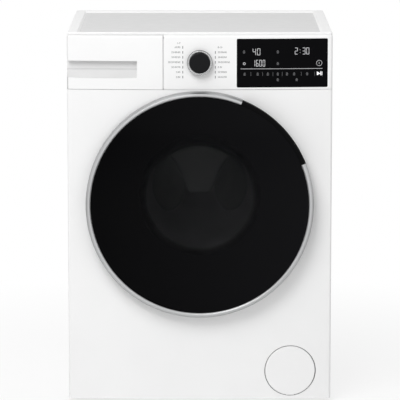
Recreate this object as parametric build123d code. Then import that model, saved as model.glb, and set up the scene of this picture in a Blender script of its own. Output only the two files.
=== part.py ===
from build123d import *
import math
import os

# Front load washing machine, in millimetres. The origin is the middle of the footprint on the
# floor, +Z is up, the front faces -Y and +X is to the right of someone facing the machine.

# Overall sizes
WIDTH = 597.0
HEIGHT = 845.0
BODY_DEPTH = 550.0
FRONT_BOW = 13.0
DOOR_PROUD = 32.0
INLET_PROUD = 18.0

# Sheet, moulding and running gaps
SHEET = 1.0
MOULD = 3.0
SEAM = 1.0
CLEAR = 0.4
CORNER_R = 6.0

# Heights of the cabinet
PANEL_BOTTOM = 8.0
BASE_BOTTOM = 16.0
BASE_HEIGHT = 44.0
BASE_FLOOR = 4.0
FASCIA_HEIGHT = 127.0
FASCIA_LEDGE = 28.0
FASCIA_STEP = 4.0
WORKTOP_THICK = 25.0
RIM_WIDTH = 26.0
RIM_LEDGE = 12.0
RIM_SLOPE = 5.0
BOARD_THICK = 15.0
BOARD_SUNK = 4.0
FLANGE = 25.0
RETURN = 18.0

# Door
DOOR_Z = 459.0
RING_R = 257.0
RING_WALL = 6.0
RING_FACE = 11.0
RING_LAP = 31.0
GLASS_THICK = 4.0
GLASS_DOME = 6.0
GRIP_FROM = 22.0
GRIP_TO = 68.0
HINGE_INSET = 11.0
HINGE_Y_IN = 25.0
HINGE_HALF = 56.0
PIN_R = 3.0
KNUCKLE_R = 5.2
BOWL_GAP = 24.0
BOWL_TAPER = 22.0
BOWL_DEPTH = 114.0
BOWL_THICK = 5.0
DISH_SLOPE = 26.0
DISH_DEPTH = 24.0
PORT_LEDGE = 26.0

# Drum, tub and drive
DRUM_GAP = 19.0
DRUM_SHEET = 1.2
DRUM_FRONT_GAP = 18.0
DRUM_BACK_GAP = 38.0
DRUM_LIP = 8.0
LIFTER_HEIGHT = 55.0
LIFTER_WIDTH = 70.0
TUB_ROOM = 30.5
TUB_WALL = 4.0
TUB_FRONT_ROOM = 66.0
MOUTH_STEP = 2.0
TUB_FRONT_LENGTH = 182.0
TUB_REAR_ROOM = 96.0
HUB_R = 46.0
SHAFT_R = 15.0
PULLEY_R = 140.0
PULLEY_WIDTH = 18.0
MOTOR_PULLEY_R = 10.0
MOTOR_R = 62.0
MOTOR_Z = 106.0
BELT_THICK = 4.0
BELT_WIDTH = 12.0
BOUNCE = 12.0

# Control panel
DRAWER_RIGHT = -82.0
KNOB_DROP = 65.0
KNOB_R = 24.0
KNOB_RING_R = 28.8
KNOB_HEIGHT = 18.0
DISPLAY_WIDTH = 204.5
DISPLAY_HEIGHT = 110.0
DISPLAY_SIDE = 11.0
DISPLAY_DROP = 11.5
DISPLAY_THICK = 2.0
GRIP_DROP = 62.0
GRIP_HEIGHT = 39.0
GRIP_END = -141.0
GRIP_DEPTH = 12.5
GRIP_UNDER = 9.0
PANEL_SEAM = 0.8

# Dispenser
TRAY_LENGTH = 262.0
TRAY_HEIGHT = 58.0
TRAY_WALL = 2.0
HOUSING_WALL = 2.5
HOUSING_LENGTH = 278.0

# Filter flap, pump and feet
FLAP_SIDE = 92.5
FLAP_Z = 73.0
FLAP_R = 57.0
FLAP_THICK = 3.0
FILTER_R = 34.0
SUMP_IN = 111.0
FOOT_R = 19.0
FOOT_PAD = 8.0
STEM_R = 6.0
FOOT_SIDE = 32.5
FLAP_GAP = 1.6
FLAP_BEVEL = 1.6
FLAP_BEAD_R = 1.3
FLAP_BEAD_HALF = 9.0
CUP_R = 62.0

# Small fittings
LATCH_IN = 10.0
BUSH_R = 7.0
KNOB_SHAFT_R = 3.0
INLET_R = 13.2
INLET_SIDE = 73.5
INLET_DROP = 80.0
HOSE_R = 11.0
DRAIN_SIDE = 46.5
DRAIN_DROP = 155.0
GLAND_R = 8.0
GLAND_SIDE = 108.5
CAP_R = 13.0
CAP_SIDE = 58.5
CAP_BELOW = 229.0
CAP_ABOVE = 141.0
SCREW_SIDE = 14.0
SCREW_DROP = 55.0
SCREW_R = 4.0
SCREW_HEAD = 2.2
MODULE_WIDTH = 56.0
MODULE_LENGTH = 145.0
MODULE_HEIGHT = 120.0
MODULE_ROOM = 77.0
SPRING_R = 10.0
SPRING_WIRE = 2.0
SPRING_TURNS = 12
EAR_REACH = 190.0
EAR_HALF = 12.0
EAR_THICK = 8.0
DAMPER_IN = 56.0
DAMPER_TOP = 150.0
DAMPER_FLOOR = 36.0
ROD_LOW = 90.0
DAMPER_R = 16.0
ROD_R = 6.0

# Derived planes
DEPTH = DOOR_PROUD + BODY_DEPTH + INLET_PROUD
Y_DOOR = -DEPTH / 2
Y_FRONT = Y_DOOR + DOOR_PROUD
Y_EDGE = Y_FRONT + FRONT_BOW
Y_REAR = Y_FRONT + BODY_DEPTH
Y_SIDE = Y_EDGE + RETURN
Y_LEDGE = Y_FRONT + FASCIA_LEDGE
X_SIDE = WIDTH / 2
GLASS_R = RING_R - RING_FACE
DISH_R = RING_R - RING_LAP
DISH_FLOOR_R = DISH_R - DISH_SLOPE
PORT_R = DISH_FLOOR_R - PORT_LEDGE
BOWL_R = PORT_R - BOWL_GAP
BOWL_END_R = BOWL_R - BOWL_TAPER
TUB_MOUTH = PORT_R + MOUTH_STEP
DRUM_MOUTH_R = TUB_MOUTH - DRUM_LIP
TUB_R = X_SIDE - TUB_ROOM
TUB_FRONT = Y_FRONT + TUB_FRONT_ROOM
TUB_SPLIT = TUB_FRONT + TUB_FRONT_LENGTH
TUB_REAR = Y_REAR - TUB_REAR_ROOM
DRUM_R = TUB_R - TUB_WALL - DRUM_GAP
DRUM_FRONT = TUB_FRONT + DRUM_FRONT_GAP
DRUM_BACK = TUB_REAR - DRUM_BACK_GAP
KNOB_Z = HEIGHT - KNOB_DROP
DISPLAY_RIGHT = X_SIDE - DISPLAY_SIDE
DISPLAY_LEFT = DISPLAY_RIGHT - DISPLAY_WIDTH
DISPLAY_TOP = HEIGHT - DISPLAY_DROP
DISPLAY_BOTTOM = DISPLAY_TOP - DISPLAY_HEIGHT
GRIP_HIGH = HEIGHT - GRIP_DROP
GRIP_LOW = GRIP_HIGH - GRIP_HEIGHT
GRIP_X = (GRIP_END - X_SIDE) / 2
FLAP_X = X_SIDE - FLAP_SIDE
FOOT_X = X_SIDE - FOOT_SIDE
LATCH_X = DISH_FLOOR_R - LATCH_IN
INLET_X = INLET_SIDE - X_SIDE
INLET_Z = HEIGHT - INLET_DROP
DRAIN_X = X_SIDE - DRAIN_SIDE
DRAIN_Z = HEIGHT - DRAIN_DROP
GLAND_X = X_SIDE - GLAND_SIDE
BOW_R = (X_SIDE**2 + FRONT_BOW**2) / (2 * FRONT_BOW)
Z_WORKTOP = HEIGHT - WORKTOP_THICK
Z_FASCIA_TOP = HEIGHT - FASCIA_STEP
Z_FASCIA = HEIGHT - FASCIA_HEIGHT + SEAM
Z_PANEL_TOP = Z_FASCIA - PANEL_SEAM
Z_BAR = Z_FASCIA - 3.0
BAR_HEIGHT = 22.0
Z_HOUSING = Z_BAR + BAR_HEIGHT
Z_BASE_TOP = BASE_BOTTOM + BASE_HEIGHT
Y_SEAT = Y_DOOR + GLASS_DOME + GLASS_THICK
Y_RING_BACK = Y_FRONT - 1.5
Y_FRAME = Y_SEAT + 4.0
Y_BOWL = Y_FRONT + 10.0
Y_DISH = Y_FRONT + DISH_DEPTH
HINGE_X = -(RING_R - HINGE_INSET)
HINGE_Y = Y_DOOR + HINGE_Y_IN
Y_PULLEY = TUB_REAR + 44.0
Y_BOARD = Y_EDGE + MOULD + 3.0
FOOT_SPOTS = [(x, y) for x in (-FOOT_X, FOOT_X) for y in (Y_SIDE + 40.0, Y_REAR - 45.0)]
CAP_XS = (CAP_SIDE - X_SIDE, X_SIDE - CAP_SIDE)
CAP_ZS = (DOOR_Z - CAP_BELOW, DOOR_Z + CAP_ABOVE)
CAP_SPOTS = [(x, z) for x in CAP_XS for z in CAP_ZS]
SCREW_ZS = (60.0, 320.0, 560.0, HEIGHT - SCREW_DROP)
Z_EAR = DOOR_Z + 145.0
Z_MOTOR_MOUNT = MOTOR_Z + MOTOR_R + 4.0
MOUNT_YS = (TUB_REAR - 112.0, TUB_REAR - 36.0)
DAMPER_YS = (TUB_FRONT + 92.0, TUB_REAR - 71.0)
DAMPER_X = FLAP_X - DAMPER_IN
DAMPER_SPOTS = [(x, y) for x in (-DAMPER_X, DAMPER_X) for y in DAMPER_YS]
Z_ROD_TOP = DOOR_Z - TUB_R + 14.0
SPRING_X = X_SIDE - 17.0
HEATER_X = 28.0
PUMP_BACK = Y_SIDE + 87.0
SUMP_OUT_Y = Y_SIDE + 47.0
SUMP_OUT_Z = FLAP_Z + 19.0
FLAP_Y = Y_FRONT + BOW_R - math.sqrt(BOW_R**2 - FLAP_X**2)
HOUSING_X0 = FLANGE - X_SIDE + 9.5
HOUSING_X1 = DRAWER_RIGHT - 8.0
TRAY_X0 = HOUSING_X0 + HOUSING_WALL + 1.0
TRAY_X1 = HOUSING_X1 - HOUSING_WALL - 1.0
TRAY_Z = Z_HOUSING + HOUSING_WALL + 0.5
HEATER_Z = DOOR_Z - (DRUM_R + TUB_R - TUB_WALL) / 2
SUMP_X = FLAP_X - SUMP_IN
SUMP_Y = TUB_SPLIT - 40.0
SUMP_TOP = DOOR_Z - TUB_R - 16.0
FILL_X = -190.0
FILL_Y = TUB_SPLIT + 40.0
FILL_Z = DOOR_Z + 222.0
DRUM_AXIS = Axis((0, 0, DOOR_Z), (0, 1, 0))


def block(x0, x1, y0, y1, z0, z1):
    """Plain box between two corners."""
    return Pos((x0 + x1) / 2, (y0 + y1) / 2, (z0 + z1) / 2) * Box(x1 - x0, y1 - y0, z1 - z0)


def rod_y(r, x, z, y0, y1):
    """Round bar along Y."""
    return Pos(x, (y0 + y1) / 2, z) * Rot(90, 0, 0) * Cylinder(r, y1 - y0)


def rod_z(r, x, y, z0, z1):
    """Round bar along Z."""
    return Pos(x, y, (z0 + z1) / 2) * Cylinder(r, z1 - z0)


def outline(corners):
    """Closed face from (u, v, radius) corners, each corner rounded by its own radius."""
    edges = []
    ends = []
    count = len(corners)
    for i, (u, v, r) in enumerate(corners):
        here = Vector(u, v)
        back = (Vector(*corners[i - 1][:2]) - here).normalized()
        on = (Vector(*corners[(i + 1) % count][:2]) - here).normalized()
        if r <= 0:
            ends.append((here, here))
            continue
        half = math.acos(max(-1.0, min(1.0, back.dot(on)))) / 2
        reach = r / math.tan(half)
        first = here + back * reach
        last = here + on * reach
        middle = here + (back + on).normalized() * (r / math.sin(half) - r)
        edges.append(ThreePointArc(first, middle, last))
        ends.append((first, last))
    for i in range(count):
        start = ends[i][1]
        stop = ends[(i + 1) % count][0]
        if (stop - start).length > 1e-6:
            edges.append(Line(start, stop))
    return make_face(edges)


def turned(corners, axis=DRUM_AXIS):
    """Solid of revolution from (radius, depth, rounding) corners about an axis along Y."""
    centre = axis.position
    return revolve(Pos(centre.X, 0, centre.Z) * outline(corners), axis, 360)


def at_bow(x, z, shape):
    """Shape moved from the origin onto the bowed front and turned square to it there."""
    y = Y_FRONT + BOW_R - math.sqrt(BOW_R**2 - x**2)
    return Pos(x, y, z) * Rot(0, 0, math.degrees(math.asin(x / BOW_R))) * shape


def sector(corners, a0, a1):
    """Part of a ring on the door axis between two angles, from +X towards +Z seen from the front."""
    axis = Axis((0, 0, DOOR_Z), (0, -1, 0))
    face = Pos(0, 0, DOOR_Z) * Rot(0, -a0, 0) * outline(corners)
    return revolve(face, axis, a1 - a0)


def strip(path, thick, rounding=0.0):
    """Corners of a wall of even thickness along a (radius, depth) path."""
    points = [Vector(*p) for p in path]
    sides = []
    for i, p in enumerate(points):
        before = (p - points[i - 1]).normalized() if i else None
        after = (points[i + 1] - p).normalized() if i + 1 < len(points) else None
        one = before or after
        two = after or before
        normal = Vector(-(one + two).Y, (one + two).X).normalized()
        span = thick / 2 / max(0.3, normal.dot(Vector(-one.Y, one.X)))
        r = rounding if before and after else 0.0
        sides.append((p + normal * span, p - normal * span, r))
    left = [(a.X, a.Y, r) for a, _, r in sides]
    right = [(b.X, b.Y, r) for _, b, r in reversed(sides)]
    return left + right


def bow_at(x):
    """Depth of the bowed front at a given distance from the middle."""
    return Y_FRONT + BOW_R - math.sqrt(BOW_R**2 - x**2)


def bowed_block(inset, y_back, z0, z1, corner=CORNER_R):
    """Block with the machine's bowed front, drawn in by an inset, up to a flat back."""
    half = X_SIDE - inset
    r = BOW_R - inset
    edge = Y_FRONT + BOW_R - math.sqrt(r**2 - half**2)
    face = make_face(
        [
            ThreePointArc((-half, edge), (0, Y_FRONT + inset), (half, edge)),
            Line((half, edge), (half, y_back)),
            Line((half, y_back), (-half, y_back)),
            Line((-half, y_back), (-half, edge)),
        ]
    )
    front = face.vertices().sort_by(Axis.Y)[:2]
    return extrude(Pos(0, 0, z0) * fillet(front, corner), z1 - z0)


def prism_x(corners, x0, x1):
    """Extrusion along X of a face drawn as (y, z, rounding) corners."""
    face = Plane(origin=(x0, 0, 0), x_dir=(0, 1, 0), z_dir=(1, 0, 0)) * outline(corners)
    return extrude(face, x1 - x0)


def prism_y(corners, y0, y1):
    """Extrusion along Y of a face drawn as (x, z, rounding) corners."""
    face = Plane(origin=(0, y1, 0), x_dir=(1, 0, 0), z_dir=(0, -1, 0)) * outline(corners)
    return extrude(face, y1 - y0)


def plate_y(x0, x1, z0, z1, y0, y1, r):
    """Plate facing the front with rounded corners."""
    return prism_y([(x0, z0, r), (x1, z0, r), (x1, z1, r), (x0, z1, r)], y0, y1)


def plate_z(x0, x1, y0, y1, z0, z1, r):
    """Level plate with rounded corners."""
    face = outline([(x0, y0, r), (x1, y0, r), (x1, y1, r), (x0, y1, r)])
    return extrude(Pos(0, 0, z0) * face, z1 - z0)


def tube(points, r, bend, bore=0.0):
    """Round tube along a path of straights and bends."""
    path = FilletPolyline(*points, radius=bend)
    section = Circle(r) - Circle(bore) if bore else Circle(r)
    return sweep(Plane(origin=path @ 0, z_dir=path % 0) * section, path=path)


def side_panel():
    """Folded right-hand side sheet with flanges at the front, top and rear."""
    outer = block(X_SIDE - FLANGE, X_SIDE, Y_SIDE, Y_REAR - SHEET, PANEL_BOTTOM, Z_WORKTOP)
    pocket = block(
        X_SIDE - FLANGE - 1,
        X_SIDE - SHEET,
        Y_SIDE + SHEET,
        Y_REAR - 2 * SHEET,
        PANEL_BOTTOM - 1,
        Z_WORKTOP - SHEET,
    )
    return outer - pocket


def base_tray():
    """Base moulding with four foot bosses and a gap in its front wall for the pump."""
    half = X_SIDE - SHEET
    y0 = Y_SIDE + SHEET
    y1 = Y_REAR - 2 * SHEET
    tray = block(-half, half, y0, y1, BASE_BOTTOM, Z_BASE_TOP)
    tray -= block(
        -half + BASE_FLOOR,
        half - BASE_FLOOR,
        y0 + BASE_FLOOR,
        y1 - BASE_FLOOR,
        BASE_BOTTOM + BASE_FLOOR,
        Z_BASE_TOP + 1,
    )
    for x, y in FOOT_SPOTS:
        tray += rod_z(STEM_R * 3, x, y, BASE_BOTTOM, Z_BASE_TOP)
    for x, y in FOOT_SPOTS:
        tray -= rod_z(STEM_R + CLEAR, x, y, BASE_BOTTOM - 1, Z_BASE_TOP + 1)
    gap = FILTER_R + 8.0
    return tray - block(
        FLAP_X - gap, FLAP_X + gap, y0 - 1, y0 + BASE_FLOOR + 1, BASE_BOTTOM + BASE_FLOOR, Z_BASE_TOP + 1
    )


def dish_path():
    """Radius and depth points of the porthole dish, from in front of the panel to its lip."""
    lead = 14.0
    spread = lead * (DISH_R - DISH_FLOOR_R) / DISH_DEPTH
    return [
        (DISH_R + spread, Y_FRONT - lead),
        (DISH_FLOOR_R, Y_DISH),
        (PORT_R, Y_DISH),
        (PORT_R, Y_DISH + 8.0),
    ]


def front_panel():
    """Bowed front sheet with the porthole dish, the latch slot and the filter opening."""
    panel = bowed_block(0, Y_SIDE, PANEL_BOTTOM, Z_PANEL_TOP)
    panel -= bowed_block(SHEET, Y_SIDE + 1, PANEL_BOTTOM - 1, Z_PANEL_TOP + 1, CORNER_R - SHEET)
    path = dish_path()
    mouth = [(0, path[0][1], 0), (*path[0], 0), (*path[1], 0), (0, path[1][1], 0)]
    panel -= turned(mouth)
    dish = turned(strip(path, SHEET))
    panel += dish & bowed_block(0, Y_DISH + 20, PANEL_BOTTOM, Z_PANEL_TOP)
    panel -= block(LATCH_X - 7, LATCH_X + 7, Y_DISH - 3, Y_DISH + 3, DOOR_Z - 14, DOOR_Z + 14)
    return panel - rod_y(FLAP_R + FLAP_GAP, FLAP_X, FLAP_Z, Y_FRONT - 5, Y_SIDE)


def rear_panel():
    """Rear cover with a pressed field and holes for valve, gland, drain outlet and caps."""
    half = X_SIDE - 6.0
    z1 = Z_WORKTOP - 4.0
    cover = plate_y(-half, half, BASE_BOTTOM, z1, Y_REAR - SHEET, Y_REAR, 8.0)
    depth = 6.0
    field = 205.0
    outer = plate_y(-field, field, 150.0, 690.0, Y_REAR - SHEET - depth, Y_REAR - SHEET, 60.0)
    inner = plate_y(
        -field + SHEET, field - SHEET, 150.0 + SHEET, 690.0 - SHEET, Y_REAR - depth, Y_REAR + 1, 59.0
    )
    cover = cover + outer - inner
    cover -= rod_y(INLET_R + CLEAR, INLET_X, INLET_Z, Y_REAR - 5, Y_REAR + 5)
    cover -= rod_y(HOSE_R, DRAIN_X, DRAIN_Z, Y_REAR - 5, Y_REAR + 5)
    cover -= rod_y(GLAND_R, GLAND_X, INLET_Z, Y_REAR - 5, Y_REAR + 5)
    for x, z in CAP_SPOTS:
        cover -= rod_y(CAP_R, x, z, Y_REAR - 5, Y_REAR + 5)
    return cover


def crossbar():
    """Channel across the top of the front that carries the fascia and the dispenser."""
    half = X_SIDE - FLANGE
    back = Y_LEDGE + 28.0
    bar = block(-half, half, Y_LEDGE, back, Z_BAR, Z_BAR + BAR_HEIGHT)
    return bar - block(-half - 1, half + 1, Y_LEDGE + 2, back - 2, Z_BAR - 1, Z_BAR + BAR_HEIGHT - 2)


def worktop_frame():
    """Worktop surround with a raised rim that slopes down to the sunk board."""
    frame = plate_z(-X_SIDE, X_SIDE, Y_LEDGE + SEAM, Y_REAR, Z_WORKTOP, HEIGHT, CORNER_R)
    frame = fillet(frame.faces().sort_by(Axis.Z)[-1].edges(), 2.5)
    x1 = X_SIDE - RIM_WIDTH
    y0 = Y_LEDGE + SEAM + RIM_WIDTH * 0.5
    y1 = Y_REAR - RIM_WIDTH
    z_board = HEIGHT - BOARD_SUNK - BOARD_THICK
    frame -= block(-x1, x1, y0, y1, z_board, HEIGHT + 1)
    frame -= block(
        -x1 + RIM_LEDGE, x1 - RIM_LEDGE, y0 + RIM_LEDGE, y1 - RIM_LEDGE, Z_WORKTOP - 1, z_board + 1
    )
    slope = loft(
        [
            Pos(0, (y0 + y1) / 2, HEIGHT - BOARD_SUNK) * Rectangle(2 * x1, y1 - y0),
            Pos(0, (y0 + y1) / 2, HEIGHT + 1) * Rectangle(2 * (x1 + RIM_SLOPE), y1 - y0 + 2 * RIM_SLOPE),
        ]
    )
    return frame - slope


def worktop_board():
    """Board let into the worktop surround."""
    x1 = X_SIDE - RIM_WIDTH
    y0 = Y_LEDGE + SEAM + RIM_WIDTH * 0.5
    y1 = Y_REAR - RIM_WIDTH
    top = HEIGHT - BOARD_SUNK
    return block(-x1, x1, y0, y1, top - BOARD_THICK, top)


def panel_blank():
    """Full-width bowed blank of the control panel with a rounded top edge."""
    blank = bowed_block(0, Y_LEDGE, Z_FASCIA, Z_FASCIA_TOP)
    top = blank.faces().sort_by(Axis.Z)[-1]
    rounded = [e for e in top.edges() if e.center().Y < Y_LEDGE - 1]
    return fillet(rounded, 5.0)


def control_fascia():
    """Right-hand part of the control panel, hollow from behind, with display seat and knob hole."""
    x0 = DRAWER_RIGHT + SEAM
    right = block(x0, X_SIDE + 1, Y_FRONT - 5, Y_LEDGE, Z_FASCIA - 1, HEIGHT)
    fascia = panel_blank() & right
    hollow = bowed_block(MOULD, Y_LEDGE + 1, Z_FASCIA + MOULD, Z_FASCIA_TOP - MOULD, CORNER_R - MOULD)
    hollow &= block(x0 + MOULD, X_SIDE, Y_FRONT, Y_LEDGE + 1, Z_FASCIA, HEIGHT)
    fascia -= hollow
    post_xs = (DISPLAY_LEFT + 8, DISPLAY_RIGHT - 8)
    post_zs = (DISPLAY_BOTTOM + 8, DISPLAY_TOP - 8)
    posts = [(x, z) for x in post_xs for z in post_zs]
    for x, z in posts:
        fascia += rod_y(4.0, x, z, Y_FRONT + 1, Y_BOARD) & bowed_block(
            MOULD / 2, Y_LEDGE, Z_FASCIA, Z_FASCIA_TOP
        )
    seat = plate_y(
        DISPLAY_LEFT, DISPLAY_RIGHT, DISPLAY_BOTTOM, DISPLAY_TOP, Y_FRONT - 5, Y_LEDGE - 1, 3.0
    )
    fascia -= seat - bowed_block(DISPLAY_THICK, Y_LEDGE, Z_FASCIA - 5, HEIGHT)
    window = plate_y(
        DISPLAY_LEFT + 16,
        DISPLAY_RIGHT - 16,
        DISPLAY_BOTTOM + 16,
        DISPLAY_TOP - 16,
        Y_FRONT - 5,
        Y_EDGE + MOULD,
        3.0,
    )
    fascia -= window
    return fascia - rod_y(BUSH_R, 0, KNOB_Z, Y_FRONT - 5, Y_FRONT + 10)


def display_window():
    """Bowed black window let flush into the fascia."""
    plate = plate_y(
        DISPLAY_LEFT, DISPLAY_RIGHT, DISPLAY_BOTTOM, DISPLAY_TOP, Y_FRONT - 5, Y_LEDGE - 1, 3.0
    )
    skin = bowed_block(0, Y_LEDGE, Z_FASCIA - 5, HEIGHT)
    skin -= bowed_block(DISPLAY_THICK, Y_LEDGE + 1, Z_FASCIA - 6, HEIGHT + 1)
    return plate & skin


def display_board():
    """Circuit board with its indicator block, screwed to the fascia's posts."""
    board = block(
        DISPLAY_LEFT, DISPLAY_RIGHT, Y_BOARD, Y_BOARD + 1.6, DISPLAY_BOTTOM + 2, DISPLAY_TOP - 2
    )
    lamps = block(
        DISPLAY_LEFT + 22,
        DISPLAY_RIGHT - 22,
        Y_BOARD - 4,
        Y_BOARD,
        DISPLAY_BOTTOM + 22,
        DISPLAY_TOP - 22,
    )
    return board + lamps


def rotary_encoder():
    """Encoder behind the fascia, its threaded bush through the knob hole."""
    y0 = Y_FRONT + MOULD + 0.1
    case = block(-14, 14, y0, y0 + 12, KNOB_Z - 14, KNOB_Z + 14)
    bush = rod_y(BUSH_R, 0, KNOB_Z, Y_FRONT - 0.5, y0)
    return case + bush - rod_y(KNOB_SHAFT_R + CLEAR, 0, KNOB_Z, Y_FRONT - 1, y0 + 8)


def knob_cap():
    """Programme knob cap with a rounded edge and a pointer groove."""
    y0 = Y_FRONT - KNOB_HEIGHT
    y1 = Y_FRONT - 5.0
    axis = Axis((0, 0, KNOB_Z), (0, 1, 0))
    cap = turned(
        [(0, y0, 0), (KNOB_R - 1.5, y0, 2.0), (KNOB_R, y1 - 4, 0), (KNOB_R, y1, 0), (0, y1, 0)], axis
    )
    cap -= block(-0.8, 0.8, y0 - 1, y0 + 0.8, KNOB_Z + KNOB_R - 10, KNOB_Z + KNOB_R - 3)
    return cap - rod_y(KNOB_SHAFT_R, 0, KNOB_Z, y1 - 7, y1 + 1)


def bright_ring():
    """Bright ring around the knob cap, with a floor that the cap stands on."""
    y0 = Y_FRONT - 12.0
    floor = Y_FRONT - 5.0
    back = Y_FRONT - 1.0
    axis = Axis((0, 0, KNOB_Z), (0, 1, 0))
    inner = KNOB_R + 1.6
    return turned(
        [
            (KNOB_SHAFT_R, floor, 0),
            (inner, floor, 0),
            (inner, y0, 0.6),
            (KNOB_RING_R - 1.0, y0, 0.8),
            (KNOB_RING_R, floor, 0),
            (KNOB_RING_R - 1.0, back, 0),
            (KNOB_SHAFT_R, back, 0),
        ],
        axis,
    )


def knob_shaft():
    """Encoder spindle that carries the knob."""
    return rod_y(KNOB_SHAFT_R, 0, KNOB_Z, Y_FRONT - 12.0, Y_FRONT + MOULD + 7.0)


def knob_ring():
    """Bright ring and the spindle that carries it."""
    return [bright_ring(), knob_shaft()]


def wedge(a0, a1, r, y0, y1):
    """Sector of the door between two angles."""
    corners = [(0.0, a0), (r * 1.2, a0), (r * 1.4, (a0 + a1) / 2), (r * 1.2, a1)]
    points = [
        (d * math.cos(math.radians(a)), DOOR_Z + d * math.sin(math.radians(a)), 0) for d, a in corners
    ]
    return prism_y(points, y0, y1)


def ring_corners():
    """Section of the door ring: bright crest, bevelled outer wall and a ledge for the window."""
    inner = GLASS_R + 0.5
    crest = Y_SEAT - GLASS_THICK - 3.0
    wall = RING_R - RING_WALL
    return [
        (inner, Y_SEAT - GLASS_THICK - 0.5, 0),
        (inner + 2.0, crest, 1.0),
        (inner + 5.5, crest, 0.5),
        (inner + 6.2, crest + 1.0, 0),
        (inner + 7.0, crest + 1.0, 0),
        (RING_R, crest + 6.0, 2.0),
        (RING_R, Y_RING_BACK, 0),
        (wall, Y_RING_BACK, 0),
        (wall, Y_FRAME, 0),
        (GLASS_R - 10.0, Y_FRAME, 0),
        (GLASS_R - 10.0, Y_SEAT, 0),
        (inner, Y_SEAT, 0),
    ]


def hinge_notch():
    """Room left behind the door's left edge for the hinge."""
    half = HINGE_HALF + 5.0
    return block(HINGE_X - 20, HINGE_X + 40, Y_FRAME + 4.0, Y_BOWL, DOOR_Z - half, DOOR_Z + half)


def door_ring():
    """Bright ring, broken at the upper right by the grip."""
    return sector(ring_corners(), GRIP_TO, 360 + GRIP_FROM) - hinge_notch()


def door_grip():
    """Dark grip that closes the ring, hollow behind for the fingers."""
    crest = Y_SEAT - GLASS_THICK - 3.0
    corners = [
        (GLASS_R + 0.5, Y_SEAT - GLASS_THICK - 0.5, 0),
        (RING_R - 3.0, crest + 1.0, 1.0),
        (RING_R, crest + 5.0, 1.0),
        (RING_R, Y_FRAME + 6.0, 0),
        (RING_R - 4.0, Y_FRAME + 6.0, 0),
        (RING_R - 4.0, Y_FRAME, 0),
        (GLASS_R - 10.0, Y_FRAME, 0),
        (GLASS_R - 10.0, Y_SEAT, 0),
        (GLASS_R + 0.5, Y_SEAT, 0),
    ]
    return sector(corners, GRIP_FROM, GRIP_TO)


def door_window():
    """Slightly domed smoked outer window."""
    rim = Y_SEAT - GLASS_THICK
    radius = (GLASS_R**2 + GLASS_DOME**2) / (2 * GLASS_DOME)
    ball = Pos(0, rim - GLASS_DOME + radius, DOOR_Z) * Sphere(radius)
    inner = Pos(0, rim - GLASS_DOME + GLASS_THICK + radius, DOOR_Z) * Sphere(radius)
    disc = rod_y(GLASS_R, 0, DOOR_Z, Y_DOOR - 1, Y_SEAT)
    return (disc & ball) - inner


def frame_moulding():
    """Inner door frame, stepped back to carry the bowl, with pockets for hinge and hook."""
    wall = RING_R - RING_WALL - CLEAR
    rear = DISH_FLOOR_R + 4.0
    mouth = BOWL_R + 2.0
    frame = turned(
        [
            (mouth, Y_FRAME, 0),
            (wall, Y_FRAME, 0),
            (wall, Y_FRAME + 4.0, 0),
            (rear + 6.0, Y_FRAME + 4.0, 0),
            (rear, Y_BOWL, 3.0),
            (mouth, Y_BOWL, 0),
            (mouth, Y_BOWL - 4.0, 0),
            (rear - 5.0, Y_BOWL - 4.0, 0),
            (rear - 3.0, Y_FRAME + 8.0, 0),
            (mouth, Y_FRAME + 8.0, 0),
        ]
    )
    frame -= wedge(GRIP_FROM + 2, GRIP_TO - 2, RING_R, Y_FRAME - 1, Y_FRONT) - rod_y(
        RING_R - 36.0, 0, DOOR_Z, Y_FRAME - 2, Y_FRONT + 1
    )
    pocket = block(LATCH_X - 9, LATCH_X + 9, Y_BOWL - 16, Y_BOWL + 1, DOOR_Z - 9, DOOR_Z + 9)
    frame += block(LATCH_X - 12, LATCH_X + 11, Y_FRAME + 6, Y_BOWL - 2, DOOR_Z - 16, DOOR_Z + 16)
    frame -= pocket
    return frame + rod_z(2.0, LATCH_X, Y_BOWL - 8, DOOR_Z - 10, DOOR_Z + 10)


def door_bowl():
    """Glass bowl that reaches into the drum mouth."""
    back = Y_BOWL + BOWL_DEPTH
    outer = [(BOWL_R + 26, Y_BOWL, 0), (BOWL_R + 26, Y_BOWL + 4, 0), (BOWL_R, Y_BOWL + 4, 3.0)]
    outer += [(BOWL_END_R, back - 3, 26.0), (0, back, 0)]
    inner = [
        (0, back - BOWL_THICK, 0),
        (BOWL_END_R - BOWL_THICK, back - 3 - BOWL_THICK, 22.0),
        (BOWL_R - BOWL_THICK - 1, Y_BOWL, 0),
    ]
    return turned(outer + inner)


def bowl_retainer():
    """Ring that clamps the bowl's flange to the door frame, open at the hook."""
    outer = DISH_FLOOR_R - 4.0
    ring = turned(
        [
            (BOWL_R + 4, Y_BOWL + 4, 0),
            (BOWL_R + 4, Y_BOWL + 7, 1.0),
            (outer, Y_BOWL + 7, 2.0),
            (outer, Y_BOWL, 0),
            (BOWL_R + 28, Y_BOWL, 0),
            (BOWL_R + 28, Y_BOWL + 4, 0),
        ]
    )
    return ring - block(LATCH_X - 9, LATCH_X + 9, Y_BOWL - 1, Y_BOWL + 9, DOOR_Z - 9, DOOR_Z + 9)


def door_frame():
    """Inner door frame and the retainer that clamps the bowl to it."""
    return [frame_moulding(), bowl_retainer()]


def latch_hook():
    """Sprung hook that drops behind the lock's keeper."""
    tip = Y_DISH + 12.0
    pivot = Y_BOWL - 8.0
    hook = block(LATCH_X - 3, LATCH_X + 3, pivot - 4, tip, DOOR_Z - 6, DOOR_Z + 6)
    hook += block(LATCH_X - 6, LATCH_X, tip - 5, tip, DOOR_Z - 6, DOOR_Z + 6)
    hook += rod_z(5.0, LATCH_X, pivot, DOOR_Z - 6, DOOR_Z + 6)
    return hook - rod_z(2.0 + CLEAR, LATCH_X, pivot, DOOR_Z - 7, DOOR_Z + 7)


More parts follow.
